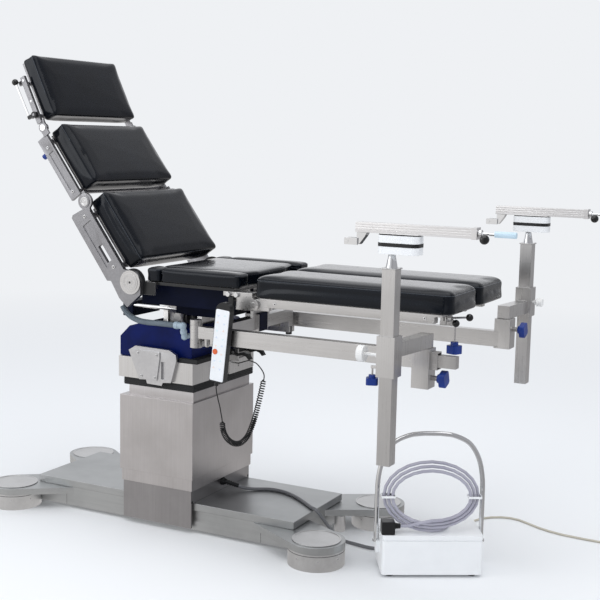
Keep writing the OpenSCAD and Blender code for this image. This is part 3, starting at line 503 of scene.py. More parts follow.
class Form:
    """A mesh in the making, shaped with bmesh operators."""

    def __init__(self) -> None:
        """Starts empty."""
        self.bm = bmesh.new()

    def block(self, lo: tuple, hi: tuple, edge: float = 0.0, steps: int = 2) -> "Form":
        """Adds a box with rounded edges.

        Args:
            lo: its lowest corner in millimetres.
            hi: its highest corner in millimetres.
            edge: the radius of its edges in millimetres.
            steps: segments of each round edge.
        Returns:
            This form.
        """
        low, high = mm(*lo), mm(*hi)
        fit = Matrix.Translation((low + high) / 2) @ Matrix.Diagonal((*(high - low), 1.0))
        made = bmesh.ops.create_cube(self.bm, size=1.0, matrix=fit)
        if edge:
            self._round(made["verts"], edge, steps, 10.0)
        return self

    def _round(self, verts: list, edge: float, steps: int, least: float) -> None:
        """Rounds the sharp edges among some vertices.

        Args:
            verts: the vertices.
            edge: the rounding in millimetres.
            steps: its segments.
            least: edges flatter than this many degrees stay.
        """
        edges = {e for v in verts for e in v.link_edges}
        sharp = [e for e in edges if len(e.link_faces) == 2 and e.calc_face_angle(0) > math.radians(least)]
        bevel(self.bm, sharp, edge, steps)

    def drum(
        self, a: tuple, b: tuple, radius: float, edge: float = 0.0, sides: int = 40, top: float | None = None
    ) -> "Form":
        """Adds a cylinder or cone between two points.

        Args:
            a: the first end's centre in millimetres.
            b: the other end's centre in millimetres.
            radius: the radius at a.
            edge: the radius of its rims.
            sides: facets round it.
            top: the radius at b, if it differs.
        Returns:
            This form.
        """
        start, end = mm(*a), mm(*b)
        way = end - start
        fit = Matrix.Translation((start + end) / 2) @ way.to_track_quat("Z", "Y").to_matrix().to_4x4()
        made = bmesh.ops.create_cone(
            self.bm, cap_ends=True, cap_tris=False, segments=sides, radius1=radius * MM,
            radius2=(radius if top is None else top) * MM, depth=way.length, matrix=fit,
        )
        if edge:
            self._round(made["verts"], edge, 2, 40.0)
        return self

    def ball(self, centre: tuple, radius: float) -> "Form":
        """Adds a ball.

        Args:
            centre: its middle in millimetres.
            radius: its radius in millimetres.
        Returns:
            This form.
        """
        bmesh.ops.create_uvsphere(
            self.bm, u_segments=28, v_segments=18, radius=radius * MM, matrix=Matrix.Translation(mm(*centre))
        )
        return self

    def lathe(self, base: tuple, way: tuple, profile: list[tuple[float, float]], sides: int = 48) -> "Form":
        """Turns a profile round an axis.

        Args:
            base: the axis's first point in millimetres.
            way: the axis's direction.
            profile: pairs of radius and height along the axis, in millimetres.
            sides: steps of the full turn.
        Returns:
            This form.
        """
        fit = Matrix.Translation(mm(*base)) @ Vector(way).to_track_quat("Z", "Y").to_matrix().to_4x4()
        chain = [self.bm.verts.new(fit @ mm(r, 0, h)) for r, h in profile]
        edges = [self.bm.edges.new(pair) for pair in zip(chain, chain[1:])]
        before = set(self.bm.faces)
        bmesh.ops.spin(
            self.bm, geom=chain + edges, cent=mm(*base), axis=Vector(way).normalized(), angle=math.tau,
            steps=sides, use_merge=True,
        )
        made = [f for f in self.bm.faces if f not in before]
        verts = list({v for f in made for v in f.verts})
        bmesh.ops.remove_doubles(self.bm, verts=verts, dist=WELD)
        bmesh.ops.recalc_face_normals(self.bm, faces=[f for f in self.bm.faces if f not in before])
        return self

    def placed(self, matrix: Matrix) -> "Form":
        """Moves all that is there so far."""
        bmesh.ops.transform(self.bm, matrix=matrix, verts=self.bm.verts)
        return self

    def piece(self, name: str, finish: Finish, body: str | None, slot: str, smooth: float = 20.0) -> Any:
        """Turns the form into a finished piece.

        Args:
            name: the piece's name.
            finish: its surface.
            body: the CAD body that it rides on, or None.
            slot: the record's material slot; not used.
            smooth: edges flatter than this many degrees are shaded smooth.
        Returns:
            The object.
        """
        return settle(name, mesh_of(name, self.bm), [finish], body, smooth)


def settle(
    name: str, mesh: Any, finishes: list[Finish], body: str | None, smooth: float = 20.0
) -> Any:
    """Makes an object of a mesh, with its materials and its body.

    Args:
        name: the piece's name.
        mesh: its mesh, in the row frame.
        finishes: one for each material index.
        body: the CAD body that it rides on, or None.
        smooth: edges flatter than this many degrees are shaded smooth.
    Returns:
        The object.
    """
    mesh.materials.clear()
    for finish in finishes:
        mesh.materials.append(finish.material())
    mesh.polygons.foreach_set("use_smooth", [True] * len(mesh.polygons))
    mesh.set_sharp_from_angle(angle=math.radians(smooth))
    made = show(name, mesh)
    if body:
        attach(made, body)
    return made


def tube_mesh(
    name: str,
    points: list[Vector],
    radius: float,
    facets: int = 3,
    radii: list[float] | None = None,
    closed: bool = False,
) -> Any:
    """Makes a round tube's mesh along points.

    Args:
        name: the mesh's name.
        points: the centreline in metres.
        radius: the tube's radius in metres.
        facets: the bevel resolution of the round.
        radii: shares of the radius, one a point.
        closed: whether the line closes on itself.
    Returns:
        The mesh.
    """
    line = bpy.data.curves.new(name, "CURVE")
    line.dimensions = "3D"
    line.bevel_depth = radius
    line.bevel_resolution = facets
    line.use_fill_caps = not closed
    strand = line.splines.new("POLY")
    strand.points.add(len(points) - 1)
    for k, p in enumerate(points):
        strand.points[k].co = (*p, 1.0)
        strand.points[k].radius = radii[k] if radii else 1.0
    strand.use_cyclic_u = closed
    shown = show(name + "_line", line)
    mesh = bpy.data.meshes.new_from_object(shown.evaluated_get(bpy.context.evaluated_depsgraph_get()))
    bpy.data.objects.remove(shown)
    bpy.data.curves.remove(line)
    bm = bmesh.new()
    bm.from_mesh(mesh)
    bmesh.ops.remove_doubles(bm, verts=bm.verts, dist=WELD)
    bmesh.ops.recalc_face_normals(bm, faces=bm.faces)
    bm.to_mesh(mesh)
    bm.free()
    mesh.name = name
    return mesh


def smooth_chain(points: list[Vector], steps: int) -> list[Vector]:
    """Runs a smooth line through points, as the CAD source does.

    Args:
        points: the placed points.
        steps: steps between two of them.
    Returns:
        The finer chain.
    """
    last = len(points) - 1
    chain = []
    for i in range(last):
        a, b = points[max(i - 1, 0)], points[i]
        c, d = points[i + 1], points[min(i + 2, last)]
        for k in range(steps):
            f = k / steps
            even = 2 * b + (c - a) * f + (2 * a - 5 * b + 4 * c - d) * f * f
            chain.append(0.5 * (even + (3 * b - a - 3 * c + d) * f * f * f))
    return [*chain, points[last]]


def run_length(points: list[Vector]) -> float:
    """Returns the length of a chain of points."""
    return sum((b - a).length for a, b in zip(points, points[1:]))


@dataclass(frozen=True)
class Span:
    """A zone of faces: those inside a box, in millimetres."""

    lo: tuple
    hi: tuple

    def holds(self, p: Vector) -> bool:
        """Says whether a point in metres lies in the zone."""
        return all(a * MM <= c <= b * MM for a, c, b in zip(self.lo, p, self.hi))


@dataclass(frozen=True)
class Round:
    """A zone of faces: those inside a cylinder between two points, in millimetres."""

    a: tuple
    b: tuple
    radius: float

    def holds(self, p: Vector) -> bool:
        """Says whether a point lies in the zone.

        Args:
            p: the point in metres.
        Returns:
            True where it does.
        """
        start, end = mm(*self.a), mm(*self.b)
        way = end - start
        share = (p - start).dot(way) / way.length_squared
        return 0 <= share <= 1 and (p - start - way * share).length <= self.radius * MM


@dataclass(frozen=True)
class Dressed:
    """How one CAD node is finished: rounded edges, a main finish and others by zone."""

    node: str
    finish: Finish
    width: float = 1.0
    zones: tuple = ()
    least: float = 35.0

    def build(self, frame: dict) -> Any:
        """Makes the rounded copy that stands for the node.

        Args:
        Returns:
            The shown object.
        """
        source = frame["nodes"][self.node]
        mesh = self._rounded(source)
        if mesh is None:
            self._paint(source.data)
            return source
        made = settle(self.node + "_shape", mesh, [self.finish], source["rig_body"], 18.0)
        self._paint(mesh)
        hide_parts(self.node)
        return made

    def _rounded(self, source: Any) -> Any:
        """Copies the node's mesh, merged and with rounded edges.

        Args:
            source: the node's object.
        Returns:
            The mesh, or None where the rounding is off or fails.
        """
        if self.width <= 0:
            return None
        bm = merged(source)
        bmesh.ops.dissolve_limit(
            bm, angle_limit=math.radians(0.6), verts=bm.verts, edges=bm.edges, use_dissolve_boundaries=False
        )
        if any(len(e.link_faces) != 2 for e in bm.edges):
            log.info("%s stays unrounded: its merged mesh is open", self.node)
            bm.free()
            return None
        sharp = [e for e in bm.edges if e.calc_face_angle(0) > math.radians(self.least)]
        low, high = self._box(bm)
        bevel(bm, sharp, self.width, 2, slide=True)
        new_low, new_high = self._box(bm)
        if any(new_low[k] <= low[k] - GROWTH or new_high[k] >= high[k] + GROWTH for k in range(3)):
            log.info("%s stays unrounded: its corners would grow", self.node)
            bm.free()
            return None
        return mesh_of(self.node + "_shape", bm)

    def _box(self, bm: bmesh.types.BMesh) -> tuple[list[float], list[float]]:
        """Returns the lowest and the highest corner of a mesh in the making."""
        spans = [[v.co[k] for v in bm.verts] for k in range(3)]
        return [min(span) for span in spans], [max(span) for span in spans]

    def _paint(self, mesh: Any) -> None:
        """Gives each face the finish of the first zone that holds its middle.

        Args:
            mesh: the mesh to paint.
        """
        mesh.materials.clear()
        mesh.materials.append(self.finish.material())
        others: list[Finish] = []
        for _, finish in self.zones:
            if finish not in others:
                others.append(finish)
                mesh.materials.append(finish.material())
        indices = [0] * len(mesh.polygons)
        for k, face in enumerate(mesh.polygons):
            for zone, finish in self.zones:
                if zone.holds(face.center):
                    indices[k] = others.index(finish) + 1
                    break
        mesh.polygons.foreach_set("material_index", indices)


def dress_all(frame: dict, *items: Dressed) -> None:
    """Dresses some nodes.

    Args:
        *items: how each of them is dressed.
    """
    for item in items:
        item.build(frame)


@dataclass(frozen=True)
class Section:
    """A hinged section of the back: its hinge and its tilt."""

    x: float
    z: float
    tilt: float

    def matrix(self) -> Matrix:
        """Places the section's own frame, which runs up the section and to its front, in the row frame.

        Returns:
            The matrix from the section's frame to the row frame.
        """
        c, s = math.cos(math.radians(self.tilt)), math.sin(math.radians(self.tilt))
        return Matrix(((-c, 0, s, self.x * MM), (0, 1, 0, 0), (s, 0, c, self.z * MM), (0, 0, 0, 1)))

    def at(self, up: float, y: float, front: float) -> tuple[float, float, float]:
        """Returns a point of the section in millimetres of the row frame."""
        return tuple(self.matrix() @ mm(up, y, front) / MM)


LOWER = Section(-63, 914, 53.5)
MIDDLE = Section(-264, 1192, 53.5)
HEAD = Section(-455, 1452, 64.5)


@dataclass
class Cushion:
    """An upholstered cushion over one solid of a CAD node."""

    name: str
    node: str
    body: str
    up: tuple = (0, 0, 1)
    swell: float = 3.5
    shrink: float = 0.3
    seam: float = 17.0
    second_seam: float = 0.0
    voxel: float = 5.0
    inside: Callable[[Vector], bool] | None = None

    def build(self, frame: dict) -> Any:
        """Makes the padded piece with its piping.

        Args:
        Returns:
            The cushion's object.
        """
        made = show(self.name, mesh_of(self.name, self._solid(frame["nodes"][self.node])))
        self._remesh(made)
        self._inflate(made)
        self._smooth(made)
        self._pipe(made, self.seam, 1.1)
        if self.second_seam:
            self._pipe(made, self.second_seam, 0.9)
        finer = made.modifiers.new("Finer", "SUBSURF")
        finer.levels = finer.render_levels = 1
        mesh = made.data
        mesh.materials.clear()
        mesh.materials.append(PAD.material())
        mesh.polygons.foreach_set("use_smooth", [True] * len(mesh.polygons))
        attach(made, self.body)
        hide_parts(self.node)
        log.info("%s: %d faces", self.name, len(mesh.polygons))
        return made

    def _solid(self, source: Any) -> bmesh.types.BMesh:
        """Takes the wanted solid of the node, merged and slightly smaller.

        Args:
            source: the node's object.
        Returns:
            The solid in the making.
        """
        bm = merged(source)
        if self.inside:
            gone = [v for v in bm.verts if not self.inside(v.co)]
            bmesh.ops.delete(bm, geom=gone, context="VERTS")
        middle = sum((v.co for v in bm.verts), Vector()) / len(bm.verts)
        for axis in range(3):
            reach = max(abs(v.co[axis] - middle[axis]) for v in bm.verts)
            share = 1 - self.shrink * MM / reach
            for v in bm.verts:
                v.co[axis] = middle[axis] + (v.co[axis] - middle[axis]) * share
        return bm

    def _remesh(self, made: Any) -> None:
        """Gives the cushion an even mesh.

        Args:
            made: the cushion.
        """
        even = made.modifiers.new("Even", "REMESH")
        even.mode = "VOXEL"
        even.voxel_size = self.voxel * MM
        self._apply(made)

    def _apply(self, made: Any) -> None:
        """Turns the modifiers' result into the object's own mesh.

        Args:
            made: the object.
        """
        shown = made.evaluated_get(bpy.context.evaluated_depsgraph_get())
        mesh = bpy.data.meshes.new_from_object(shown)
        made.modifiers.clear()
        old = made.data
        made.data = mesh
        bpy.data.meshes.remove(old)

    def _inflate(self, made: Any) -> None:
        """Blows the cover up a little, with its underside held, and limits how far it moves.

        Args:
            made: the cushion.
        """
        up = Vector(self.up)
        rest = [v.co.copy() for v in made.data.vertices]
        heights = [p.dot(up) for p in rest]
        low, high = min(heights), max(heights)
        held = made.vertex_groups.new(name=COVER["vertex_group_mass"])
        held.add([k for k, h in enumerate(heights) if h < low + HELD * (high - low)], 1.0, "REPLACE")
        cloth = made.modifiers.new("Cover", "CLOTH")
        for key, value in COVER.items():
            setattr(cloth.settings, key, value)
        cloth.settings.effector_weights.gravity = 0
        cloth.collision_settings.use_collision = False
        cloth.point_cache.frame_start = 1
        cloth.point_cache.frame_end = COVER_STEPS
        for step in range(1, COVER_STEPS + 1):
            bpy.context.scene.frame_set(step)
        shown = made.evaluated_get(bpy.context.evaluated_depsgraph_get())
        moves = [v.co - p for v, p in zip(shown.data.vertices, rest)]
        made.modifiers.clear()
        bpy.context.scene.frame_set(1)
        cap = self.swell * MM
        moves = self._calm(moves, [tuple(e.vertices) for e in made.data.edges])
        for v, p, move in zip(made.data.vertices, rest, moves):
            far = move.length
            if far > 1e-9:
                v.co = p + move * (cap * math.tanh(far / cap) / far)

    def _calm(self, steps: list[Vector], edges: list[tuple[int, int]]) -> list[Vector]:
        """Evens the moves of neighbouring points, so that the stretched cloth keeps no small creases.

        Args:
            steps: how far each point moved.
            edges: the mesh's edges as pairs of points.
        Returns:
            The evened moves.
        """
        for _ in range(CALM_PASSES):
            total = [step.copy() for step in steps]
            count = [1] * len(steps)
            for a, b in edges:
                total[a] += steps[b]
                total[b] += steps[a]
                count[a] += 1
                count[b] += 1
            steps = [t / n for t, n in zip(total, count)]
        return steps

    def _smooth(self, made: Any) -> None:
        """Takes the steps of the even mesh out.

        Args:
            made: the cushion.
        """
        bm = bmesh.new()
        bm.from_mesh(made.data)
        for _ in range(2):
            bmesh.ops.smooth_vert(
                bm, verts=bm.verts, factor=0.5, use_axis_x=True, use_axis_y=True, use_axis_z=True
            )
        bm.to_mesh(made.data)
        bm.free()

    def _pipe(self, made: Any, below: float, radius: float) -> None:
        """Sews a line of piping round the cushion.

        Args:
            made: the cushion.
            below: how far under its top the line runs, in millimetres.
            radius: the piping's radius in millimetres.
        """
        up = Vector(self.up)
        top = max(v.co.dot(up) for v in made.data.vertices)
        bm = bmesh.new()
        bm.from_mesh(made.data)
        cut = bmesh.ops.bisect_plane(
            bm, geom=[*bm.verts, *bm.edges, *bm.faces], dist=1e-7, plane_co=up * (top - below * MM),
            plane_no=up,
        )
        edges = {e for e in cut["geom_cut"] if isinstance(e, bmesh.types.BMEdge)}
        loop = []
        if edges:
            first = next(iter(sorted(edges, key=lambda e: e.index if e.index >= 0 else 1 << 30)))
            here, edge = first.verts[0], first
            while edge is not None and len(loop) < len(edges) + 2:
                loop.append(here.co.copy())
                here = edge.other_vert(here)
                edges.discard(edge)
                edge = next((e for e in here.link_edges if e in edges), None)
        bm.free()
        if len(loop) < PIPE_POINTS:
            log.info("%s has no piping", self.name)
            return
        kept = [loop[0]]
        for p in loop[1:]:
            if (p - kept[-1]).length > PIPE_STEP * MM and (p - kept[0]).length > PIPE_STEP / 2 * MM:
                kept.append(p)
        mesh = tube_mesh(f"{self.name}_piping", kept, radius * MM, 2, closed=True)
        # The piping's lighter grey is a painted highlight along the seam.
        settle(f"{self.name}_piping_{int(below)}", mesh, [PIPING_PAINTED_HIGHLIGHT], self.body, 80.0)


@dataclass
class Cord:
    """A cable, cord or hose along a chain of points in millimetres."""

    name: str
    chain: list
    radius: float
    finish: Finish
    slot: str
    far_end: str
    stiffness: str = "medium"
    lay: str = "loose"
    body: str | None = None
    bodies: tuple | None = None
    node: str | None = None
    facets: int = 3
    ribs: int = 0
    rib_depth: float = 0.0
    pieces: list = field(default_factory=list)

    def build(self) -> Any:
        """Returns:
            The cord's object.
        """
        path = [mm(*p) for p in self.chain]
        line, radii = path, None
        if self.ribs:
            line, radii = self._ribbed(path)
        mesh = tube_mesh(self.name, line, self.radius * MM, self.facets, radii)
        made = settle(self.name, mesh, [self.finish], self.body, 60.0)
        if self.bodies:
            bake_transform(made)
        if self.node:
            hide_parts(self.node)
        log.info("%s: %.0f mm", self.name, run_length(path) / MM)
        return made

    def _ribbed(self, path: list[Vector]) -> tuple[list[Vector], list[float]]:
        """Sets even points along the path, with the shares of the radius that make ribs.

        Args:
            path: the middle line in metres.
        Returns:
            The points and their shares.
        """
        total = run_length(path)
        count = self.ribs * RIB_POINTS
        line, radii = [], []
        for k in range(count + 1):
            want, gone = total * k / count, 0.0
            for a, b in zip(path, path[1:]):
                step = (b - a).length
                if gone + step >= want - 1e-9:
                    line.append(a.lerp(b, min(1.0, (want - gone) / step)))
                    break
                gone += step
            radii.append(1.0 if k % RIB_POINTS in (1, 2) else 1.0 - self.rib_depth)
        return line, radii


def power_frame(unit: float = MM) -> Matrix:
    """Places the power unit's own frame in the row frame.

    Args:
        unit: one millimetre in the wanted unit.
    Returns:
        The matrix.
    """
    return Matrix.Translation(Vector(POWER_AT) * unit) @ Matrix.Rotation(math.radians(POWER_TURN), 4, "Z")


def in_power_unit(points: list[tuple]) -> list[tuple]:
    """Turns points of the power unit's own frame into the row frame.

    Args:
        points: the points in millimetres.
    Returns:
        The turned points in millimetres.
    """
    turn = power_frame(1.0)
    return [tuple(turn @ Vector(p)) for p in points]


@dataclass
class Cables:
    """The supply cable, the wound cable, the mains lead, the curly cord and the air hose."""

    supply: tuple = (
        (208.4, 29.2, 129.3), (230, 38, 122), (262, 56, 118.2), (312, 84, 118.2), (370, 84, 118.2),
        (430, 58, 118.2), (490, 16, 118.2), (546, -30, 118.2), (572, -46, 118), (596, -46, 96),
        (618, -34, 62), (642, -16, 26), (670, -2, 6.3), (720, -12, 6.3), (775, -20, 6.3), (815, -14, 8),
        (838, -26, 20), (847.6, -47.9, 30), (862.6, -73.4, 30),
    )
    lead: tuple = (
        (1044.8, 35, 30), (1030, 60, 25), (1024, 100, 8), (1006, 180, 4.2), (990, 280, 4.2), (984, 400, 4.2),
        (1010, 500, 4.2), (1070, 556, 4.2), (1140, 560, 4.2), (1230, 510, 4.2), (1330, 478, 4.2),
        (1471, 470, 4.2), (1560, 470, 4.2),
    )
    lead_loops: int = 5
    coil_loops: int = 3
    coil_step: float = 13.2
    coil_across: float = 164
    coil_up: float = 118
    lead_coil_r: float = 44
    lead_rise: float = 8.8
    lead_z: float = 4.2
    curls: int = 54
    curl_r: float = 8.4
    hose: tuple = (
        (-134, -236, 818), (-126, -236, 806), (-110, -236, 790), (-88, -236, 778), (-55, -236, 769.5),
        (-15, -236, 767.5), (25, -236, 768), (62, -236, 768), (99.7, -236, 768),
    )

    def build(self, frame: dict) -> None:
        """Makes every cord and its end pieces.
        """
        supply = smooth_chain([Vector(p) for p in self.supply], 3)
        Cord(
            "supply_cable_run", supply, 6, CABLE, "cable_grey", "object", body="base", node="supply_cable"
        ).build()
        self._coil()
        self._lead(frame)
        self._curly()
        self._hose()

    def _coil(self) -> None:
        """Winds the cable over the power unit's lid, with its square connector."""
        turns = []
        for k in range(TURN_POINTS * self.coil_loops + 1):
            a, g = math.radians(-360 / TURN_POINTS * k - 90), k / TURN_POINTS
            c = (self.coil_up - self.coil_step * g) * math.sin(a)
            across = 168 + (self.coil_across - self.coil_step * g) * math.cos(a)
            turns.append((across, 52 - 7 * g + 0.18 * c, 267.6 + 0.98 * c))
        chain = [
            (238, 104, 151.8), (226, 76, 151.8), (204, 46, 151.8), *turns, (126, 15, 184), (98, 21, 174),
            (80, 26, 170), (62.3, 26, 170),
        ]
        plug = Form().block((-2, 4, 145.2), (42, 48, 189), 2.0)
        plug.drum((41, 26, 170), (62, 26, 170), 10, 1.5, top=7.5)
        for k in range(4):
            plug.drum((45 + 4.5 * k, 26, 170), (47 + 4.5 * k, 26, 170), 10.6 - 0.5 * k, 0.5)
        head = plug.placed(power_frame()).piece("coil_connector", BLACK_PLASTIC, "base", "black_plastic")
        Cord(
            "wound_cable", in_power_unit(chain), 5.4, COIL, "coil_cable", "connector", "medium", "coiled",
            body="base", node="power_coil", facets=4, pieces=[head],
        ).build()

    def _lead(self, frame: dict) -> None:
        """Lays the mains lead over the floor to its coil and plug.
        """
        end = self.lead[-1]
        coil = []
        r = self.lead_coil_r
        for k in range(1, TURN_POINTS * self.lead_loops + 1):
            a = math.radians(360 / TURN_POINTS * k - 90)
            x, y = end[0] + r * math.cos(a) + 12, end[1] + r * (1 + math.sin(a))
            coil.append((x, y, self.lead_z + self.lead_rise * k / TURN_POINTS))
        start = smooth_chain([Vector(p) for p in self.lead], 2)
        tail = [(1615, 470, 47), (1640, 476, 40), (1664, 486, 24), (1682, 490, 18), (1690, 490, 18)]
        Cord(
            "mains_lead_run", [*start, *coil, *tail], 4, LEAD, "lead_beige", "plug", body="base",
            node="mains_lead", pieces=[frame["nodes"]["mains_plug"]],
        ).build()

    def _curly(self) -> None:
        """Hangs the curly cord from the handset and leads its thin end to the head block."""
        route = [
            Vector(p) for p in (
                (349, -329, 470), (352, -327, 440), (358, -312, 410), (372, -292, 390), (384, -264, 386),
                (392, -232, 402), (394, -206, 430), (391, -176, 462), (388, -150, 500), (385, -124, 542),
                (382, -102, 580),
            )
        ]
        fine = 12
        steps = self.curls * fine
        along = smooth_chain(route, 48)

        def place(f: float) -> Vector:
            """Finds a point of the route.

            Args:
                f: its share of the route, counted by placed points.
            Returns:
                The point in millimetres.
            """
            t = min(max(f, 0.0), 1.0) * (len(along) - 1)
            k = min(int(t), len(along) - 2)
            return along[k].lerp(along[k + 1], t - k)

        curl = []
        for k in range(steps + 1):
            f = k / steps
            way = (place(f + 0.004) - place(f - 0.004)).normalized()
            side = way.cross(Vector((1, 0, 0))).normalized()
            other = way.cross(side)
            swell = min(1.0, min(f, 1 - f) * 40)
            a = math.tau * k / fine
            curl.append(place(f) + self.curl_r * swell * (math.cos(a) * side + math.sin(a) * other))
        lead_in = [
            (325.1, -331.5, 592.8), (324.5, -331.5, 586), (327, -331.4, 568), (333, -331, 545),
            (340, -330, 520), (345, -329.5, 495), (348, -329, 480),
        ]
        tail = [
            Vector(p) for p in (
                (382, -102, 580), (379, -94, 593), (369, -86, 605), (348, -70, 616), (314, -38, 622),
                (276, 0, 618), (240, 36, 612), (205, 66, 600), (180, 70, 591), (172, 70, 590),
                (165.3, 70, 590),
            )
        ]
        finer = smooth_chain(tail, 4)
        cut = 20
        for name, chain, bodies, node in (
            ("curly_cord", [*lead_in, *curl], ("bar_near", "seat"), "handset_cord"),
            ("thin_cord_upper", finer[: cut + 1], ("seat", "tilt_cross"), None),
            ("thin_cord_end", finer[cut:], ("tilt_cross", "head"), None),
        ):
            Cord(
                name, chain, 2.1, CORD_BLACK, "cord_black", "object", "limp", "hanging", bodies=bodies,
                node=node, facets=2,
            ).build()

    def _hose(self) -> None:
        """Makes the ribbed hose in two halves and its elbow."""
        chain = smooth_chain([Vector(p) for p in self.hose], 8)
        half = run_length(chain) / 2
        gone, cut = 0.0, 0
        for k, (a, b) in enumerate(zip(chain, chain[1:])):
            gone += (b - a).length
            if gone >= half:
                cut = k + 1
                break
        middle = chain[cut - 1].lerp(chain[cut], 1 - (gone - half) / (chain[cut] - chain[cut - 1]).length)
        for name, run, bodies, node in (
            ("hose_upper", [*chain[:cut], middle], ("back_lower", "seat"), "air_hose"),
            ("hose_lower", [middle, *chain[cut:]], ("seat", "tilt_cross"), None),
        ):
            Cord(
                name, run, 10.5, HOSE, "hose", "object", "stiff", "hanging", bodies=bodies, node=node,
                facets=5, ribs=22, rib_depth=0.1,
            ).build()
        elbow = Form().drum((92, -236, 768), (108, -236, 768), 13.2, 1.5)
        elbow.drum((106, -236, 768), (126, -236, 768), 11.6, 0.8)
        elbow.ball((126, -236, 768), 13.4).drum((126, -236, 766), (128, -228, 728), 10.4, 0.5)
        elbow.drum((126.6, -233.5, 752), (127.2, -231.3, 741), 12.4, 1.2)
        elbow.ball((128, -228, 728), 12).drum((128, -228, 728), (128, -200.5, 728), 9.8)
        made = elbow.piece("hose_elbow", HOSE_END, None, "hose")
        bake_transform(made)


@dataclass
class Fastener:
    """A socket-head screw seen from outside."""

    centre: tuple
    way: tuple
    radius: float = 4.0
    height: float = 1.6

    def add(self, heads: Form, hole_shade: Form) -> None:
        """Adds the screw to two forms.

        Args:
            heads: the form that gets its head.
            hole_shade: the form that gets its dark socket.
        """
        c, w = Vector(self.centre), Vector(self.way).normalized()
        heads.drum(tuple(c - w * 0.4), tuple(c + w * self.height), self.radius, 0.5, 24)
        top = c + w * self.height
        # The socket is a dark disc on the head: painted shade of its hex recess.
        hole_shade.drum(tuple(top - w * 0.8), tuple(top + w * 0.15), self.radius * 0.5, 0.0, 6)


def fasteners(name: str, screws: list[Fastener], body: str, slot: str = "chrome") -> None:
    """Adds a group of screws as two pieces.

    Args:
        name: the group's name.
        screws: the screws.
        body: the CAD body that they ride on.
        slot: the record's material slot of the heads.
    """
    heads, hole_shade = Form(), Form()
    for screw in screws:
        screw.add(heads, hole_shade)
    heads.piece(name + "_heads", CHROME, body, slot)
    hole_shade.piece(name + "_socket_shade", DARK_JOINT_AND_HOLE_SHADE, body, slot)


@dataclass
class BaseUnit:
    """The floor base, its foot pods, the lowest cover and the cable gland."""

    feet: tuple = ((685, 255), (670, -232), (-640, 250), (-634, -249))
    foot_r: float = 99

    def build(self, frame: dict) -> None:
        """Dresses the base's nodes and adds its small parts.
        """
        dress_all(
            frame,
            Dressed("base_chassis", PLATE, 1.2),
            Dressed("foot_pods", FOOT, 1.5),
            Dressed("lower_cover", SHEET_LOW, 1.0),
            Dressed("cable_gland", BLACK_RUBBER, 0.6),
        )
        self._feet()
        self._seams()

    def _feet(self) -> None:
        """Adds each pod's cap groove and small side screws."""
        grooves = Form()
        screws = []
        rim, inner = self.foot_r - 0.4, self.foot_r - 1.4
        r = self.foot_r - 1.2
        for x, y in self.feet:
            grooves.lathe((x, y, 0), (0, 0, 1), [(inner, 52), (rim, 52.4), (rim, 53.8), (inner, 54.2)], 72)
            for a in (-150, -105, -60, -15, 60, 120):
                w = (math.cos(math.radians(a)), math.sin(math.radians(a)), 0)
                screws.append(Fastener((x + r * w[0], y + r * w[1], 38), w, 3.2, 0.6))
        grooves.piece("foot_grooves", DARK_JOINT_AND_HOLE_SHADE, "base", "foot")
        fasteners("foot_screws", screws, "base", "foot")

    def _seams(self) -> None:
        """Adds the base box's panel joints and black blocks of painted shade for the gap under the lowest
        cover.
        """
        lines = Form()
        for x in (430, -430):
            for y in (-192.25, 192.25):
                lines.block((x - 0.6, min(y, y * 0.999), 14), (x + 0.6, max(y, y * 0.999), 85))
        lines.piece("base_joints", DARK_JOINT_AND_HOLE_SHADE, "base", "steel")
        # Black blocks at the lowest cover's bottom corners: painted shade of the gap there.
        gap_shade = Form()
        for x in (-149.2, 149.2):
            for y in (-202, 202):
                gap_shade.block((min(x, x * 0.97), y - 5, 112.3), (max(x, x * 0.97), y + 5, 121))
        gap_shade.piece("cover_gap_painted_shade", BLACK_RUBBER, "base", "black_rubber")


@dataclass
class PowerUnit:
    """The power unit that stands by the table: its case, handle and plug."""

    handle: tuple = (
        (-10, 90, 100), (-10, 90, 160), (-10, 90, 250), (-7, 90, 320), (8, 90, 385), (40, 90, 435),
        (88, 90, 460), (130, 90, 467), (168, 90, 468), (206, 90, 467), (248, 90, 460), (296, 90, 435),
        (328, 90, 385), (343, 90, 320), (346, 90, 250), (346, 90, 160), (346, 90, 100),
    )

    def build(self, frame: dict) -> None:
        """Dresses the case and makes the smooth bow handle.
        """
        feet = Span((700, -500, -1), (1400, 300, 9.6))
        pins = Span((1727, 460, 0), (1760, 520, 40))
        dress_all(
            frame,
            Dressed("power_box", WHITE, 1.8, ((feet, BLACK_RUBBER),)),
            Dressed("mains_plug", WHITE_KNOB, 1.5, ((pins, CHROME),)),
        )
        path = smooth_chain([mm(*p) for p in in_power_unit(list(self.handle))], 5)
        bow = settle("power_bow", tube_mesh("power_bow", path, 8 * MM, 6), [CHROME], "base", 60)
        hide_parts("power_handle")
        tags = Form()
        for x in (-10, 346):
            tags.lathe((x, 90, 96), (0, 0, 1), [(8.3, 0), (12, 0.5), (12, 9), (8.3, 10)], 32)
        tags.placed(power_frame()).piece("bow_collars", CHROME, "base", "chrome")


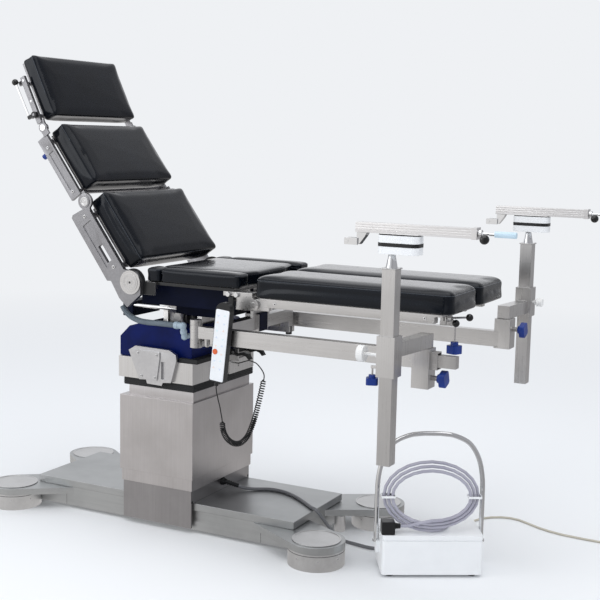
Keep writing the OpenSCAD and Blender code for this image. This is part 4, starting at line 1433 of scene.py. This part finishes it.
@dataclass
class Column:
    """The telescopic column with its head, cheek brackets, cover and levers."""

    def build(self, frame: dict) -> None:
        """Dresses the column's nodes and adds screws and pleats.
        """
        dress_all(
            frame,
            Dressed("mid_stage", SHEET, 1.0),
            Dressed("outer_sleeve", SHEET, 1.6),
            Dressed("column_collar", BLACK_RUBBER, 1.2),
            Dressed("head_block", STEEL_Z, 1.4),
            Dressed("cheek_brackets", PLATE_ALLOY, 0.8),
            Dressed("head_cover", NAVY, 2.2, least=12.0),
            Dressed("hand_lever_a", BLACK_PLASTIC, 1.5),
            Dressed("hand_lever_b", BLACK_PLASTIC, 1.5),
            Dressed("tilt_cross", STEEL_X, 1.2),
        )
        screws = []
        for side in (-1, 1):
            for x, z in ((-66, 652), (15, 650), (-50, 570), (8, 568)):
                screws.append(Fastener((x, side * 239, z), (0, side, 0), 4.4, 0.8))
        for y, z in ((40, 596), (186, 596), (186, 562)):
            screws.append(Fastener((165, y, z), (1, 0, 0), 3.6, 0.8))
        fasteners("head_screws", screws, "head")
        self._gaiter()

    def _gaiter(self) -> None:
        """Adds the pleats of the rubber collar under the head block."""
        pleats = Form()
        for z in (530, 537, 544):
            pleats.block((-145.2, -213.2, z), (159.2, 213.2, z + 3), 1.3)
        pleats.piece("collar_pleats", BLACK_RUBBER, "head", "black_rubber")


@dataclass
class Seat:
    """The seat frame, its navy covers, the clamp on the cross tube and the release levers."""

    hinge: tuple = (-63, 914)

    def build(self, frame: dict) -> None:
        """Dresses the seat's nodes and adds hinge rings and side bosses.
        """
        x, z = self.hinge
        black = tuple(
            (Round((x, y, z), (x, y + 6.9, z), 49.5), BLACK_PLASTIC) for y in (-268.4, 261.5)
        )
        rods = tuple((Round((-196, y, 798), (80, y, 798), 7), CHROME) for y in (-80, 80))
        rims = tuple((Span((-30, y - 1, 907), (346, y + 1, 920)), BLACK_PLASTIC) for y in (-252, 252))
        barrel = ((Round((300, 236, 689), (300, 236, 721), 13), BLACK_PLASTIC),)
        dress_all(
            frame,
            Dressed("seat_frame", STEEL_Y, 0.8, black + rods + rims + barrel),
            Dressed("seat_covers", NAVY_PLASTIC, 1.6),
            Dressed("cross_clamp", NAVY_PLASTIC, 1.2),
            Dressed("release_levers", BLACK_PLASTIC, 1.2),
        )
        rings, hole_shade = Form(), Form()
        for side in (-1, 1):
            y = side * 292.5
            rings.lathe((x, y, z), (0, side, 0), [(24, -0.4), (24, 0.5), (26, 0.5), (26, -0.4)])
            rings.lathe((x, y, z), (0, side, 0), [(9, -0.4), (9, 0.6), (11, 0.6), (11, -0.4)])
            # The hinge's centre hole is a dark disc of painted shade.
            hole_shade.drum((x, y - side * 0.6, z), (x, y + side * 0.3, z), 4.2)
        rings.piece("hinge_rings", PLATE_ALLOY, "seat", "bright")
        hole_shade.piece("hinge_centre_shade", DARK_JOINT_AND_HOLE_SHADE, "seat", "bright")
        spacers = Form()
        for side in (-1, 1):
            for px in (322, 354):
                spacers.drum((px, side * 249, 899), (px, side * 259.5, 899), 8.4, 0.8, 28)
        spacers.piece("seat_side_bosses", CHROME, "seat", "chrome")


@dataclass
class Back:
    """The folding back: side plates, hinge caps, knob, screws and the headrest's lever."""

    def build(self, frame: dict) -> None:
        """Dresses the back's nodes and adds its hinge caps and screws.
        """
        knob = Round(MIDDLE.at(236, -275, -66), MIDDLE.at(236, -275, -49.6), 12)
        ball = Round(HEAD.at(184, -291, -39), HEAD.at(214, -291, -39), 15)
        boss = Round(HEAD.at(56, -299, -12), HEAD.at(56, -278, -12), 30)
        dress_all(
            frame,
            Dressed("back_frame", SIDE_ALLOY, 1.0),
            Dressed("mid_frame", SIDE_ALLOY, 0.9, ((knob, KNOB_BLUE),)),
            Dressed("headrest_frame", SIDE_ALLOY, 0.9),
            Dressed("headrest_lever", CHROME, 0.5, ((ball, GLOSS_BLACK), (boss, BLACK_PLASTIC))),
        )
        self._caps(LOWER, 343.03, 3.79, 288.5, 17, "back_lower")
        self._caps(MIDDLE, 322.61, 1.12, 284.2, 12, "back_mid")
        self._plate_screws()

    def _caps(self, section: Section, up: float, front: float, y: float, radius: float, body: str) -> None:
        """Adds the turned caps of a section's upper hinge.

        Args:
            section: the section.
            up: how far up it the hinge is.
            front: how far to its front.
            y: the caps' seat from the middle.
            radius: the caps' radius.
            body: the body that they ride on.
        """
        shape = (
            (0.25, 1.6), (0.3, 0.6), (0.62, 0.6), (0.7, 2.0), (0.92, 2.0), (1.0, 1.2), (1.0, -0.6)
        )
        caps = Form()
        for side in (-1, 1):
            profile = [(0.01, 1.6), *((radius * share, height) for share, height in shape)]
            caps.lathe(section.at(up, side * y, front), (0, side, 0), profile)
        caps.piece(f"{body}_hinge_caps", CHROME, body, "bright")

    def _plate_screws(self) -> None:
        """Adds the screws along the side plates."""
        lower, upper, top = [], [], []
        for side in (-1, 1):
            for up in (84, 300):
                lower.append(Fastener(LOWER.at(up, side * 286, -30), (0, side, 0), 6.5, 2.4))
            for up in (60, 252):
                upper.append(Fastener(MIDDLE.at(up, side * 282, -26), (0, side, 0), 5.5, 2.0))
            for up in (110, 192):
                top.append(Fastener(HEAD.at(up, side * 280, -10), (0, side, 0), 4.2, 1.6))
        fasteners("back_plate_screws", lower, "back_lower", "bright")
        fasteners("mid_rail_screws", upper, "back_mid", "bright")
        fasteners("headrest_screws", top, "headrest", "bright")


@dataclass
class Legs:
    """The two leg sections with their beams, levers and hanging knobs."""

    ball_r: float = 12.0

    def build(self, frame: dict) -> None:
        """Dresses the legs' nodes and adds end fittings.
        """
        for side, name, dx, low in ((-1, "near", 0, 876), (1, "far", -110, 866)):
            y = side * 150
            r = self.ball_r + 1.5
            blue = (Round((1107, y, 752), (1107, y, 797), 34), KNOB_BLUE)
            balls = tuple(
                (Round((bx + dx - 14, side * by, bz), (bx + dx + 14, side * by, bz), r), GLOSS_BLACK)
                for bx, by, bz in ((1118, 174, 860), (1148, 131, low))
            )
            dress_all(
                frame,
                Dressed(f"leg_{name}_frame", STEEL_X, 1.0, (blue,)),
                Dressed(f"leg_{name}_lever", CHROME, 0.4, balls),
            )
            screws = [Fastener((x, side * 246, 878), (0, side, 0), 5, 1.8) for x in (500, 1040)]
            fasteners(f"leg_{name}_screws", screws, f"leg_{name}", "steel")
            end = Form().block((1071.5 + dx, y - 14, 862), (1074.5 + dx, y + 14, 885.8), 1.0)
            end.piece(f"leg_{name}_bracket_pad", BLACK_PLASTIC, f"leg_{name}", "steel")


@dataclass
class Traction:
    """One traction unit: bar, clamp block, arm, post, swivel head, rail, boot carriage and crank."""

    name: str
    post: tuple
    block_x: float
    head_x: float
    base_z: float
    rail_end: float

    def build(self, frame: dict) -> None:
        """Dresses the unit's nodes and adds the swivel head's bands and small screws.
        """
        n, (px, py), z, hx, end = self.name, self.post, self.base_z, self.head_x, self.rail_end
        capped = ((Span((1095, 273, 700), (1120, 312, 790)), BLACK_PLASTIC),) if n == "far" else ()
        blue = ((Round((px - 52, py, 706), (px - 52, py, 739), 24), KNOB_BLUE),) if n == "near" else ()
        grip = Span((self.block_x + 47.5, -700, 600), (self.block_x + 89, 700, 850))
        white = Span((hx - 70, py - 40, z - 1), (hx + 70, py + 40, z + 54.9))
        dark = Span((hx - 61, py - 23, z + 54.9), (hx + 61, py + 23, z + 57.9))
        cone = Round((px, py, z - 41.5), (px, py, z + 30), 19)
        ball = Round((end + 26, py - 26, z + 59), (end + 58, py - 26, z + 59), 15.5)
        tube = Round((end + 70.3, py, z + 73), (end + 130, py, z + 73), 10)
        dress_all(
            frame,
            Dressed(f"bar_{n}", STEEL_X, 1.2, capped),
            Dressed(f"block_{n}", STEEL_Z, 1.0),
            Dressed(f"block_knob_{n}", STEEL_X, 1.6, ((grip, KNOB_BLUE),)),
            Dressed(f"arm_{n}", STEEL_Z, 1.2, blue),
            Dressed(f"arm_knob_{n}", WHITE_KNOB, 2.2),
            Dressed(f"post_{n}_tube", STEEL_Z, 1.2, ((cone, CHROME),)),
            Dressed(f"rail_{n}", RAIL_ALLOY, 0.5, ((dark, BLACK_PLASTIC), (white, WHITE))),
            Dressed(f"boot_{n}", CHROME, 0.6),
            Dressed(f"crank_{n}", CHROME, 0.4, ((ball, GLOSS_BLACK), (tube, GRIP_TUBE))),
        )
        self._bands(px, py, z)

    def _bands(self, px: float, py: float, z: float) -> None:
        """Adds the black band round the swivel head, its chrome ring and the post cap's screws.

        Args:
            px: the post's place along the table, in millimetres.
            py: its place across.
            z: the swivel head's underside.
        """
        hx = self.head_x
        body = f"traction_head_{self.name}"
        band = Form().block((hx - 64.6, py - 33.6, z + 22), (hx + 64.6, py + 33.6, z + 33), 0.0)
        upright = [e for e in band.bm.edges if abs((e.verts[0].co - e.verts[1].co).normalized().z) > 0.9]
        bevel(band.bm, upright, 20.4, 8)
        band.piece(f"swivel_band_{self.name}", BLACK_PLASTIC, body, "black_plastic")
        profile = [(8.4, -2.2), (15, -2.2), (16, -1.4), (16, -0.2), (8.4, -0.2)]
        ring = Form().lathe((px, py, z), (0, 0, 1), profile)
        ring.piece(f"swivel_ring_{self.name}", CHROME, body, "chrome")
        top = 1063 if self.name == "near" else 1073
        screws = [Fastener((px + a, py + b, top), (0, 0, 1), 2.6, 0.9) for a in (-21, 21) for b in (-21, 21)]
        fasteners(f"post_cap_screws_{self.name}", screws, f"post_{self.name}", "steel")


@dataclass
class Handset:
    """The hand control: case, foil face, raised keys and stop key."""

    tilt: float = 5.7
    hang: tuple = (344, -331.5, 742)
    rows: int = 8

    def build(self, frame: dict) -> None:
        """Dresses the case and adds its keys with plain coloured marks.
        """
        face = Span((280, -346, 580), (400, -342.3, 870))
        dress_all(
            frame,
            Dressed("handset", BLACK_PLASTIC, 1.2, ((face, FACE_FOIL),)),
            Dressed("handset_key", STOP_RED, 0.4),
        )
        turn = Matrix.Translation(mm(*self.hang)) @ Matrix.Rotation(math.radians(self.tilt), 4, "Y")
        keys, marks = Form(), {"#cfdcf0": Form(), "#f3d9cb": Form(), "#d3ebf0": Form()}
        tones = list(marks)
        for row in range(self.rows):
            for column, x in enumerate((-14, 11)):
                z = 96 - 26 * row
                if column == 0 and abs(z + 30) < 16:
                    continue
                keys.block((x - 9, -13.9, z - 8.5), (x + 9, -13.4, z + 8.5), 0.2)
                code = tones[(row + 2 * column) % 3]
                self._arrow(marks[code], x, z, row + column)
        keys.placed(turn).piece("handset_keys", FACE_FOIL, "bar_near", "white_plastic")
        for k, (code, form) in enumerate(marks.items()):
            tint = Moulded(f"printed_mark_{k}", code, 0.45, 0.1, code, 2.0, 0.02)
            form.placed(turn).piece(f"handset_marks_{k}", tint, "bar_near", "white_plastic")

    def _arrow(self, form: Form, x: float, z: float, kind: int) -> None:
        """Adds a plain tilt mark: a bar with a small square above or below it.

        Args:
            form: the form that gets the mark.
            x: the mark's middle across the handset, in millimetres.
            z: its middle up the handset.
            kind: odd for a square above, even for one below.
        """
        lift = 3.2 if kind % 2 else -3.2
        form.block((x - 5, -14.1, z - 0.8), (x + 5, -13.8, z + 0.8))
        form.block((x - 1.6, -14.1, z + lift - 1.6), (x + 1.6, -13.8, z + lift + 1.6))


@dataclass
class Studio:
    """Floor, lights, world and the camera of the photograph's view."""

    eye: tuple = (2368.5, -3675.0, 1436.8)
    azimuth: float = 27.35
    elevation: float = 7.91
    roll: float = 1.2
    lens: float = 70.29

    def build(self) -> None:
        """Makes the studio."""
        bpy.context.scene.view_settings.view_transform = "Standard"
        self._camera()
        self._floor()
        self._world()
        self._lamp("soft_box_over", (900, -900, 4200), (300, 0, 500), 4200, 66.0)
        self._lamp("soft_box_left", (-2600, -3600, 2600), (300, 0, 700), 2600, 36.0)

    def _camera(self) -> None:
        """Sets the camera that was fitted to the photograph."""
        data = bpy.data.cameras.new("view")
        data.lens = self.lens
        data.sensor_width = 36.0
        data.clip_end = 100.0
        camera = show("view", data)
        a, e, r = (math.radians(v) for v in (self.azimuth, self.elevation, self.roll))
        back = Vector((math.sin(a) * math.cos(e), -math.cos(a) * math.cos(e), math.sin(e)))
        right = Vector((math.cos(a), math.sin(a), 0.0))
        up = back.cross(right)
        right_rolled = math.cos(r) * right + math.sin(r) * up
        up_rolled = -math.sin(r) * right + math.cos(r) * up
        turn = Matrix((right_rolled, up_rolled, back)).transposed().to_4x4()
        camera.matrix_world = Matrix.Translation(mm(*self.eye)) @ turn
        bpy.context.scene.camera = camera

    def _floor(self) -> None:
        """Lays the pale floor; glossy rays see its studio tones, darker to the foot end."""
        form = Form().block((-30000, -30000, -20), (30000, 30000, 0))
        floor = show("studio_floor", mesh_of("studio_floor", form.bm))
        made = bpy.data.materials.new("pale_floor")
        tree = empty_tree(made)
        path = add_node(tree, "LightPath")
        place = add_node(tree, "TexCoord").outputs["Object"]
        along = add_node(tree, "SeparateXYZ", Vector=place).outputs["X"]
        tones = [
            (0.0, "#f2f0ef"), (0.28, "#dcdad9"), (0.45, "#b4b3b4"), (0.62, "#9c9b9d"), (0.85, "#a8a8aa")
        ]
        tone = ramp(tree, spread(tree, along, 0.0, 1.0, -2.0, 5.0), tones)
        far = add_node(tree, "VectorMath", {"operation": "LENGTH"}, at_0=place).outputs["Value"]
        fade = spread(tree, far, 0.0, 1.0, 2.0, 6.5)
        seen = add_node(
            tree, "Math", {"operation": "MULTIPLY"}, at_0=fade, at_1=path.outputs["Is Camera Ray"]
        ).outputs[0]
        plain = add_node(tree, "BsdfDiffuse", Color=linear("#f3f5f7"))
        haze = add_node(tree, "Emission", Color=linear("#eff1f4"), Strength=1.0)
        glow = add_node(tree, "Emission", Color=tone, Strength=1.0)
        mixed = self._mix(tree, path.outputs["Is Glossy Ray"], self._mix(tree, seen, plain, haze), glow)
        add_node(tree, "OutputMaterial", Surface=mixed.outputs[0])
        floor.data.materials.append(made)

    def _mix(self, tree: bpy.types.NodeTree, share: Any, one: bpy.types.Node, two: bpy.types.Node) -> Any:
        """Mixes two shaders.

        Args:
            tree: their node tree.
            share: the socket of the second one's share.
            one: the first shader.
            two: the second shader.
        Returns:
            The mixing node.
        """
        return add_node(tree, "MixShader", Fac=share, at_1=one.outputs[0], at_2=two.outputs[0])

    def _world(self) -> None:
        """Sets an even sky, pale behind the object and toned by side for glossy rays."""
        world = bpy.data.worlds.new("studio")
        bpy.context.scene.world = world
        tree = empty_tree(world)
        path = add_node(tree, "LightPath")
        way = add_node(tree, "TexCoord").outputs["Generated"]
        across = add_node(tree, "SeparateXYZ", Vector=way).outputs["X"]
        tones = [(0.0, "#f2f3f6"), (0.42, "#e8e9ec"), (0.7, "#a2a2a6"), (1.0, "#b4b4b8")]
        tone = ramp(tree, spread(tree, across, 0.0, 1.0, -1.0, 1.0), tones)
        shine = add_node(tree, "Background", Color=tone, Strength=1.0)
        light = add_node(tree, "Background", Color=linear("#f4f6fa"), Strength=0.86)
        seen = add_node(tree, "Background", Color=linear("#eff1f4"), Strength=1.0)
        glossy = self._mix(tree, path.outputs["Is Glossy Ray"], light, shine)
        shown = self._mix(tree, path.outputs["Is Camera Ray"], glossy, seen)
        add_node(tree, "OutputWorld", Surface=shown.outputs[0])

    def _lamp(self, name: str, place: tuple, aim: tuple, size: float, watts: float) -> None:
        """Hangs a large soft lamp.

        Args:
            name: its name.
            place: its middle in millimetres.
            aim: the point that it faces.
            size: its side in millimetres.
            watts: its power.
        """
        data = bpy.data.lights.new(name, "AREA")
        data.shape = "SQUARE"
        data.size = size * MM
        data.energy = watts
        lamp = show(name, data)
        lamp.location = mm(*place)
        lamp.rotation_euler = (mm(*aim) - mm(*place)).to_track_quat("-Z", "Y").to_euler()


def cushions() -> list[Cushion]:
    """Lists every cushion of the table.

    Returns:
        The cushions.
    """
    lower = tuple(LOWER.matrix().to_3x3() @ Vector((0, 0, 1)))
    head = tuple(HEAD.matrix().to_3x3() @ Vector((0, 0, 1)))
    strip_y, strip_x = 0.1885, 0.0445
    made = [
        Cushion("back_cushion", "back_pad", "back_lower", lower),
        Cushion("mid_cushion", "mid_pad", "back_mid", lower),
        Cushion("headrest_cushion", "headrest_pad", "headrest", head),
        Cushion("leg_near_cushion", "leg_near_pad", "leg_near", seam=19.0),
        Cushion("leg_far_cushion", "leg_far_pad", "leg_far", seam=19.0),
        Cushion(
            "seat_cushion_middle", "seat_pads", "seat", swell=1.4, seam=11.0,
            inside=lambda p: abs(p.y) < strip_y,
        ),
    ]
    for side, word in ((-1, "near"), (1, "far")):
        made += [
            Cushion(
                f"seat_strip_{word}", "seat_pads", "seat", swell=1.4, seam=10.0, second_seam=22.0, voxel=4.0,
                inside=lambda p, s=side: p.y * s > strip_y and p.x > strip_x,
            ),
            Cushion(
                f"seat_corner_{word}", "seat_pads", "seat", swell=1.2, seam=9.0, voxel=3.5,
                inside=lambda p, s=side: p.y * s > strip_y and p.x < strip_x,
            ),
        ]
    return made


def main() -> None:
    """Builds the scene, sub-assembly by sub-assembly."""
    logging.basicConfig(level=logging.INFO, format="%(message)s")
    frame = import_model()
    Studio().build()
    Cables().build(frame)
    for part in (
        BaseUnit(),
        PowerUnit(),
        Column(),
        Seat(),
        Back(),
        Legs(),
        Traction("near", (1036, -518), 1059, 1062, 1105.4, 1282),
        Traction("far", (1147, 482), 1131, 1158, 1115.4, 1348),
        Handset(),
    ):
        part.build(frame)
        log.info("%s is dressed", type(part).__name__)
    for cushion in cushions():
        cushion.build(frame)


if __name__ == "__main__":
    main()
